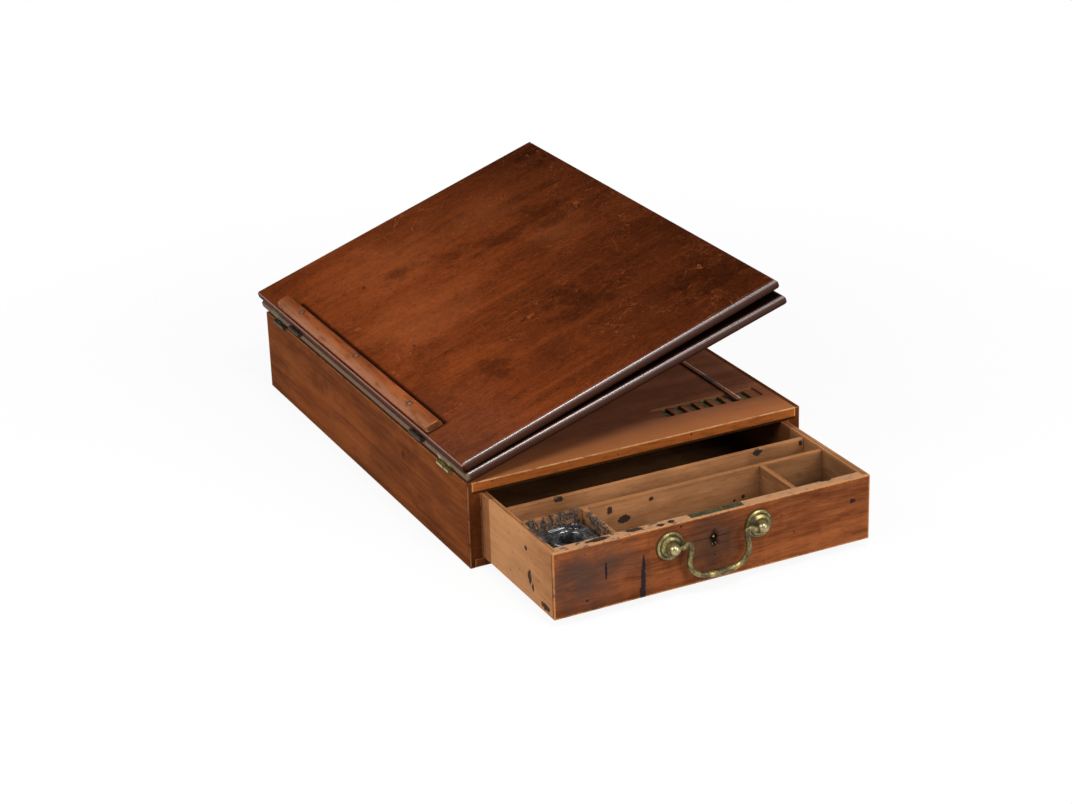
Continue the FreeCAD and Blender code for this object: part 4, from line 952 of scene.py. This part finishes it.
class SLOPE_OT_lock(Operator):
    """Green-grey edge of the lock and its dark works"""
    bl_idname = "slope.lock"
    bl_label = "Lock"

    def execute(self, context):
        tones = metals()
        dress("lock_case", crusted("lock_verdigris", tones.tarnish, tones.verdigris, 0.45))
        for name in ("lock_key_pin", "lock_bolt"):
            dress(name, brass(name + "_brass", 0.85))
        return {"FINISHED"}


# Crust of the leaf hinges, near black, partly painted shade of the gap between the leaves.
GAP_SHADE_DARK = (0.030, 0.015, 0.009)
GAP_SHADE_LIGHT = (0.060, 0.036, 0.024)
HINGES = ("slope_hinge_case_plates", "slope_hinge_case_screws", "slope_hinge_pins", "slope_hinge_leaf_plates",
          "slope_hinge_leaf_screws", "leaf_hinge_lower_plates", "leaf_hinge_lower_screws", "leaf_hinge_pins",
          "leaf_hinge_upper_plates", "leaf_hinge_upper_screws", "slope_prop_hinge_leaf_plates",
          "slope_prop_hinge_pins", "slope_prop_hinge_leaf_screws", "slope_prop_hinge_plates",
          "slope_prop_hinge_screws", "reading_prop_hinge_leaf_plates", "reading_prop_hinge_pins",
          "reading_prop_hinge_leaf_screws", "reading_prop_hinge_plates", "reading_prop_hinge_screws")


class SLOPE_OT_hinges(Operator):
    """Tarnished brass hinges, the leaf hinges under a near-black crust that is partly painted shade of the
    gap between the leaves
    """
    bl_idname = "slope.hinges"
    bl_label = "Hinges"

    def execute(self, context):
        material = brass("hinge_brass", 0.80)
        # Partly painted shade: the leaf hinges between the leaves under a near-black crust.
        gap_shade_crust = crusted("leaf_hinge_shade_crust", GAP_SHADE_DARK, GAP_SHADE_LIGHT, 0.3)
        for name in HINGES:
            dress(name, gap_shade_crust if name.startswith("leaf_hinge") else material)
        return {"FINISHED"}


PROP_PIECES = ("slope_prop_board", "slope_prop_foot", "reading_prop_board", "reading_prop_foot")
# Middle of the slope prop's foot bar, and where its toes stand on either side.
BAR_Y = 129.1
BAR_Z = 83.8
TOE_X = 195.0
PROP_STAIN = (0.05, 0.05, 0.055)
# Pale colour of the painted highlight, partly wear, along the foot bar's far top edge.
BAR_PAINTED_HIGHLIGHT = (0.80, 0.62, 0.50)
BAR_INK = (0.055, 0.060, 0.075)


class SLOPE_OT_props(Operator):
    """Mahogany props with ink on the foot bar"""
    bl_idname = "slope.props"
    bl_label = "Props"

    def wood(self, name, shift):
        """Stained mahogany; the slope prop's foot is as pale as the case top, with a painted highlight along
        its far top edge, partly wear, and ink.
        """
        tones = woods()
        graph = paint(name + "_wood")
        place = graph.place()
        _, y, z = graph.split(place)
        foot = name == "slope_prop_foot"
        pair = (tones.top_dark, tones.top_light) if foot else (tones.case_dark, tones.case_light)
        colour, height = timber(graph, place, X, *pair, shift)
        stain = graph.noise(place, (0.05, 0.08, 0.08), 4.0, 0.6).rise(0.52, 0.64)
        colour = graph.mix(stain * 0.5, colour, PROP_STAIN)
        if foot:
            # Painted highlight, partly wear: a pale line along the foot bar's far top edge.
            colour = graph.mix(y.rise(130.4, 130.8) * z.rise(83.4, 84.0) * 0.95, colour, BAR_PAINTED_HIGHLIGHT)
            blot = graph.blot(place, (150.0, 128.0, 86.0), (13.0, 5.0, 6.0), 0.4, 0.2)
            colour = graph.mix(blot * 0.8, colour, BAR_INK)
        return graph.surface(colour, 0.55, height, 0.05, BARE)

    def bar(self, material):
        """The foot bar: a thin flat lath along x, deeper at the toes and raised to meet the board.

        y = 129.1 + 2.4 c^(1/2) and z = 83.8 + h s^(1/2), with c and s the signed cosine and sine of the turn;
        h is 0.8, but 3.0 below within 7 of |x| = 195 and up to 4.6 above within 97 of the middle."""
        x = np.concatenate(([-204.9, -204.6], np.linspace(-204.0, 204.0, 320), [204.6, 204.9]))[:, None]
        turn = turns(40)
        end = np.clip((205.3 - np.abs(x)) / 1.3, 0.0, 1.0) ** 0.5
        c = signed(np.cos(turn), 0.5)
        s = signed(np.sin(turn), 0.5)
        toe = np.clip((9.0 - np.abs(np.abs(x) - TOE_X)) / 2.0, 0.0, 1.0)
        riser = np.clip((99.0 - np.abs(x)) / 2.0, 0.0, 1.0)
        tall = 0.8 + 2.2 * toe * (s < 0) + 3.8 * riser * (s > 0) * (0.5 - 0.5 * c)
        rings = np.stack(np.broadcast_arrays(x, BAR_Y + 2.4 * c * end, BAR_Z + s * end * tall), -1)
        return skin("prop_foot_bar", rings, material, "slope_prop")

    def execute(self, context):
        for number, name in enumerate(PROP_PIECES):
            material = self.wood(name, 200.0 + 9.0 * number)
            dress(name, material)
            if name == "slope_prop_foot":
                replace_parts(self.bar(material), name)
        return {"FINISHED"}


# Middles of the well and of the quill hole, and radii and heights of the well's wall and of the ink in it.
WELL_CENTRE = (344.5, -121.95)
QUILL_CENTRE = (326.0, -106.75)
WELL_WALL = ((11.6, 57.0), (12.2, 50.0), (12.2, 42.0), (11.4, 35.0), (8.0, 32.4), (2.0, 31.8))
INK_OUTLINE = ((0.5, 36.0), (11.0, 36.3), (11.7, 39.0), (11.9, 41.6), (11.2, 40.6), (0.5, 40.2))
GLASS_DARK = (0.020, 0.021, 0.022)
GLASS_DUST = (0.20, 0.19, 0.17)
INK_CRUST = (0.030, 0.030, 0.034)
CLEAR = {"Transmission Weight": 0.25, "IOR": 1.6, "Coat Weight": 0.8, "Coat Roughness": 0.04, "Coat IOR": 1.6}
WET = {"Coat Weight": 0.6, "Coat Roughness": 0.05}


class SLOPE_OT_inkwell(Operator):
    """Pressed glass inkwell with its beaded mouth, a quill hole and old ink"""
    bl_idname = "slope.inkwell"
    bl_label = "Inkwell"

    def glass(self):
        """Grey-green glass, filmed with old ink, its lighter grey mottling painted reflection."""
        tones = metals()
        graph = paint("ink_glass")
        place = graph.place()
        film = graph.noise(place, (0.10, 0.10, 0.10), 5.0, 0.65, 0.8)
        # Painted reflection: the glass mottled between its dark colour and a lighter grey.
        colour = graph.mix(film.rise(0.42, 0.62), GLASS_DARK, tones.glass)
        dust = graph.noise(place, (0.5, 0.5, 0.5), 3.0, 0.6).rise(0.52, 0.70)
        colour = graph.mix(dust * 0.35, colour, GLASS_DUST)
        return graph.surface(colour, 0.04 + dust * 0.16, film, 0.5, CLEAR)

    def ink(self):
        """Dried and wet ink, almost black."""
        graph = paint("old_ink")
        crust = graph.noise(graph.place(), (0.3, 0.3, 0.3), 4.0, 0.6)
        colour = graph.mix(crust.rise(0.40, 0.65), woods().ink, INK_CRUST)
        return graph.surface(colour, 0.12 + crust * 0.3, crust, 0.15, WET)

    def block(self, material):
        """The glass: its profile runs up the wall, round the shoulder, over the bead and down into the well.

        A ring's radius is a share of a rounded square, 1 / (|c/26.4|^8 + |s/26.1|^8)^(1/8), plus a circle,
        with small waves; c and s are the cosine and sine of the turn."""
        turn = turns(144)
        c = np.cos(turn)
        s = np.sin(turn)
        square = (np.abs(c / 26.4) ** 8 + np.abs(s / 26.1) ** 8) ** -0.125
        bend = np.linspace(0.0, 0.5 * np.pi, 9)
        bead = np.linspace(-0.2, np.pi, 17)
        stations = [(0.94, 0.0, 16.8), (1.0, 0.0, 17.8), (1.0, 0.0, 36.0), (1.0, 0.0, 58.0)]
        stations += [(1.0 - 0.06 * (1.0 - np.cos(a)), 0.0, 58.0 + 1.6 * np.sin(a)) for a in bend[1:]]
        stations += [(0.80, 0.0, 59.7), (0.45, 10.0, 59.4), (0.0, 18.6, 59.0)]
        stations += [(0.0, 14.4 + 2.6 * np.cos(a), 59.0 + 2.6 * np.sin(a)) for a in bead]
        stations += [(0.0, radius, z) for radius, z in WELL_WALL]
        share, circle, z = np.array(stations).T[:, :, None]
        wave = 1.0 + 0.006 * np.sin(3.0 * turn + 0.2 * z) + 0.004 * np.sin(7.0 * turn - 0.3 * z)
        reach = (share * square + circle) * np.minimum(wave, np.where(share > 0.9, 1.0, 2.0))
        ripple = 0.22 * np.sin(5.0 * turn + z) * (z > 59.05) * (share < 0.5)
        rings = np.stack((WELL_CENTRE[X] + reach * c, WELL_CENTRE[Y] + reach * s, z + ripple), -1)
        return skin("inkwell_glass", rings, material, "drawer")

    def lathe(self, name, centre, outline, material):
        """A turned piece about an upright axis: each (r, z) of the outline is one ring."""
        radius, height = np.array(outline).T[:, :, None]
        turn = turns(64)
        x = centre[X] + radius * np.cos(turn)
        y = centre[Y] + radius * np.sin(turn)
        rings = np.stack(np.broadcast_arrays(x, y, height), -1)
        return skin(name, rings, material, "drawer")

    def execute(self, context):
        glass = self.glass()
        ink = self.ink()
        dress("inkwell", glass)
        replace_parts(self.block(glass), "inkwell")
        self.lathe("ink_pool", WELL_CENTRE, INK_OUTLINE, ink)
        lip = [(5.0 + 1.3 * math.cos(a), 60.0 + 1.3 * math.sin(a)) for a in np.linspace(-0.6, math.pi, 12)]
        cup = [(0.4, 59.0), (5.6, 59.1), *lip, (3.4, 59.7), (0.4, 59.6)]
        self.lathe("quill_cup", QUILL_CENTRE, cup, ink)
        return {"FINISHED"}


class SLOPE_OT_stage(Operator):
    """Pale floor, soft light and the camera"""
    bl_idname = "slope.stage"
    bl_label = "Stage"

    def panel(self, name, place, target, size, power):
        """A square soft light facing the target."""
        data = bpy.data.lights.new(name, "AREA")
        data.shape = "SQUARE"
        data.size = size
        data.energy = power
        lamp = bpy.data.objects.new(name, data)
        aim = (Vector(target) - Vector(place)).to_track_quat("-Z", "Y")
        lamp.matrix_world = Matrix.Translation(place) @ aim.to_matrix().to_4x4()
        bpy.context.scene.collection.objects.link(lamp)

    def seen(self, graph):
        """1 for what the camera sees, straight or in a mirror or through glass."""
        ray = graph.node("ShaderNodeLightPath", {}, {})
        kinds = ("Is Camera Ray", "Is Glossy Ray", "Is Transmission Ray")
        straight, mirrored, through = (Field(graph, ray.outputs[kind]) for kind in kinds)
        return (straight + mirrored + through).least(1.0)

    def floor(self):
        """A wide pale floor just under the case, which keeps a soft shadow."""
        corners = np.array([(-30, -30), (30, -30), (30, 30), (-30, 30)], float)
        mesh = bpy.data.meshes.new("floor")
        mesh.from_pydata(np.c_[corners, np.full(4, -0.0003)].tolist(), [], [(0, 1, 2, 3)])
        floor = bpy.data.objects.new("floor", mesh)
        bpy.context.scene.collection.objects.link(floor)
        graph = paint("floor_white")
        matt = graph.node("ShaderNodeBsdfDiffuse", {}, {"Color": (0.92, 0.92, 0.92)})
        glow = graph.node("ShaderNodeEmission", {}, {"Color": (1.0, 1.0, 1.0), "Strength": 1.0})
        away = Field(graph, graph.vector("LENGTH", graph.place(), (0.0,) * 3)) / TO_MM
        share = self.seen(graph) * (0.90 + away.rise(0.3, 0.9) * 0.10)
        blend = graph.node("ShaderNodeMixShader", {}, {"Fac": share})
        graph.tree.links.new(matt.outputs[0], blend.inputs[1])
        graph.tree.links.new(glow.outputs[0], blend.inputs[2])
        graph.node("ShaderNodeOutputMaterial", {}, {"Surface": blend.outputs[0]})
        mesh.materials.append(graph.owner)

    def sky(self, ambient):
        """Even light from all round, and white where the camera meets it below the horizon."""
        world = bpy.data.worlds.new("studio")
        bpy.context.scene.world = world
        graph = Graph(world)
        way = graph.node("ShaderNodeTexCoord", {}, {}).outputs["Generated"]
        height = graph.split(way)[Z]
        seen = self.seen(graph)
        level = seen * height.fall(-0.05, 0.08) * 0.95 + seen * 0.05 + (1.0 - seen) * ambient
        glow = graph.node("ShaderNodeBackground", {}, {"Color": (1.0, 1.0, 1.0), "Strength": level})
        graph.node("ShaderNodeOutputWorld", {}, {"Surface": glow.outputs[0]})

    def execute(self, context):
        settings = context.scene.slope_stage
        data = bpy.data.cameras.new("camera")
        data.sensor_width = 36.0
        data.lens = settings.lens
        data.clip_end = 100.0
        camera = bpy.data.objects.new("camera", data)
        ahead = Vector(settings.ahead).normalized()
        above = Vector(settings.above).normalized()
        right = ahead.cross(above)
        turn = Matrix((right, right.cross(ahead), -ahead)).transposed()
        camera.matrix_world = Matrix.Translation(settings.place) @ turn.to_4x4()
        context.scene.collection.objects.link(camera)
        context.scene.camera = camera
        middle = (0.05, 0.0, 0.08)
        self.panel("overhead", (1.2, -0.1, 1.6), middle, 0.40, settings.overhead)
        self.panel("left", (0.2, -1.9, 1.2), middle, 1.4, settings.left)
        self.panel("right", (2.2, 0.9, 1.0), middle, 1.2, settings.right)
        self.floor()
        self.sky(settings.ambient)
        context.scene.view_settings.view_transform = "Standard"
        return {"FINISHED"}


OPERATORS = (SLOPE_OT_leaves, SLOPE_OT_ledge, SLOPE_OT_case, SLOPE_OT_drawer, SLOPE_OT_handle, SLOPE_OT_lock,
             SLOPE_OT_hinges, SLOPE_OT_props, SLOPE_OT_inkwell, SLOPE_OT_stage)


class SLOPE_PT_looks(Panel):
    """Lists the pieces' looks in build order"""
    bl_idname = "SLOPE_PT_looks"
    bl_label = "Writing slope"
    bl_space_type = "VIEW_3D"
    bl_region_type = "UI"
    bl_category = "Slope"

    def draw(self, context):
        for operator in OPERATORS:
            self.layout.operator(operator.bl_idname)
        for group in (context.scene.slope_woods, context.scene.slope_metals, context.scene.slope_stage):
            box = self.layout.box()
            for key in group.__annotations__:
                box.prop(group, key)


CLASSES = (SlopeWoods, SlopeMetals, SlopeStage, *OPERATORS, SLOPE_PT_looks)


def register():
    """Registers the classes and gives the scene its settings."""
    for entry in CLASSES:
        bpy.utils.register_class(entry)
    bpy.types.Scene.slope_woods = PointerProperty(type=SlopeWoods)
    bpy.types.Scene.slope_metals = PointerProperty(type=SlopeMetals)
    bpy.types.Scene.slope_stage = PointerProperty(type=SlopeStage)


def unregister():
    """Takes the settings and the classes away again."""
    del bpy.types.Scene.slope_stage, bpy.types.Scene.slope_metals, bpy.types.Scene.slope_woods
    for entry in reversed(CLASSES):
        bpy.utils.unregister_class(entry)


def main():
    """Registers the add-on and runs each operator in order."""
    register()
    for operator in OPERATORS:
        group, name = operator.bl_idname.split(".")
        if getattr(getattr(bpy.ops, group), name)() != {"FINISHED"}:
            raise RuntimeError(operator.bl_label + " did not finish")


if __name__ == "__main__":
    main()
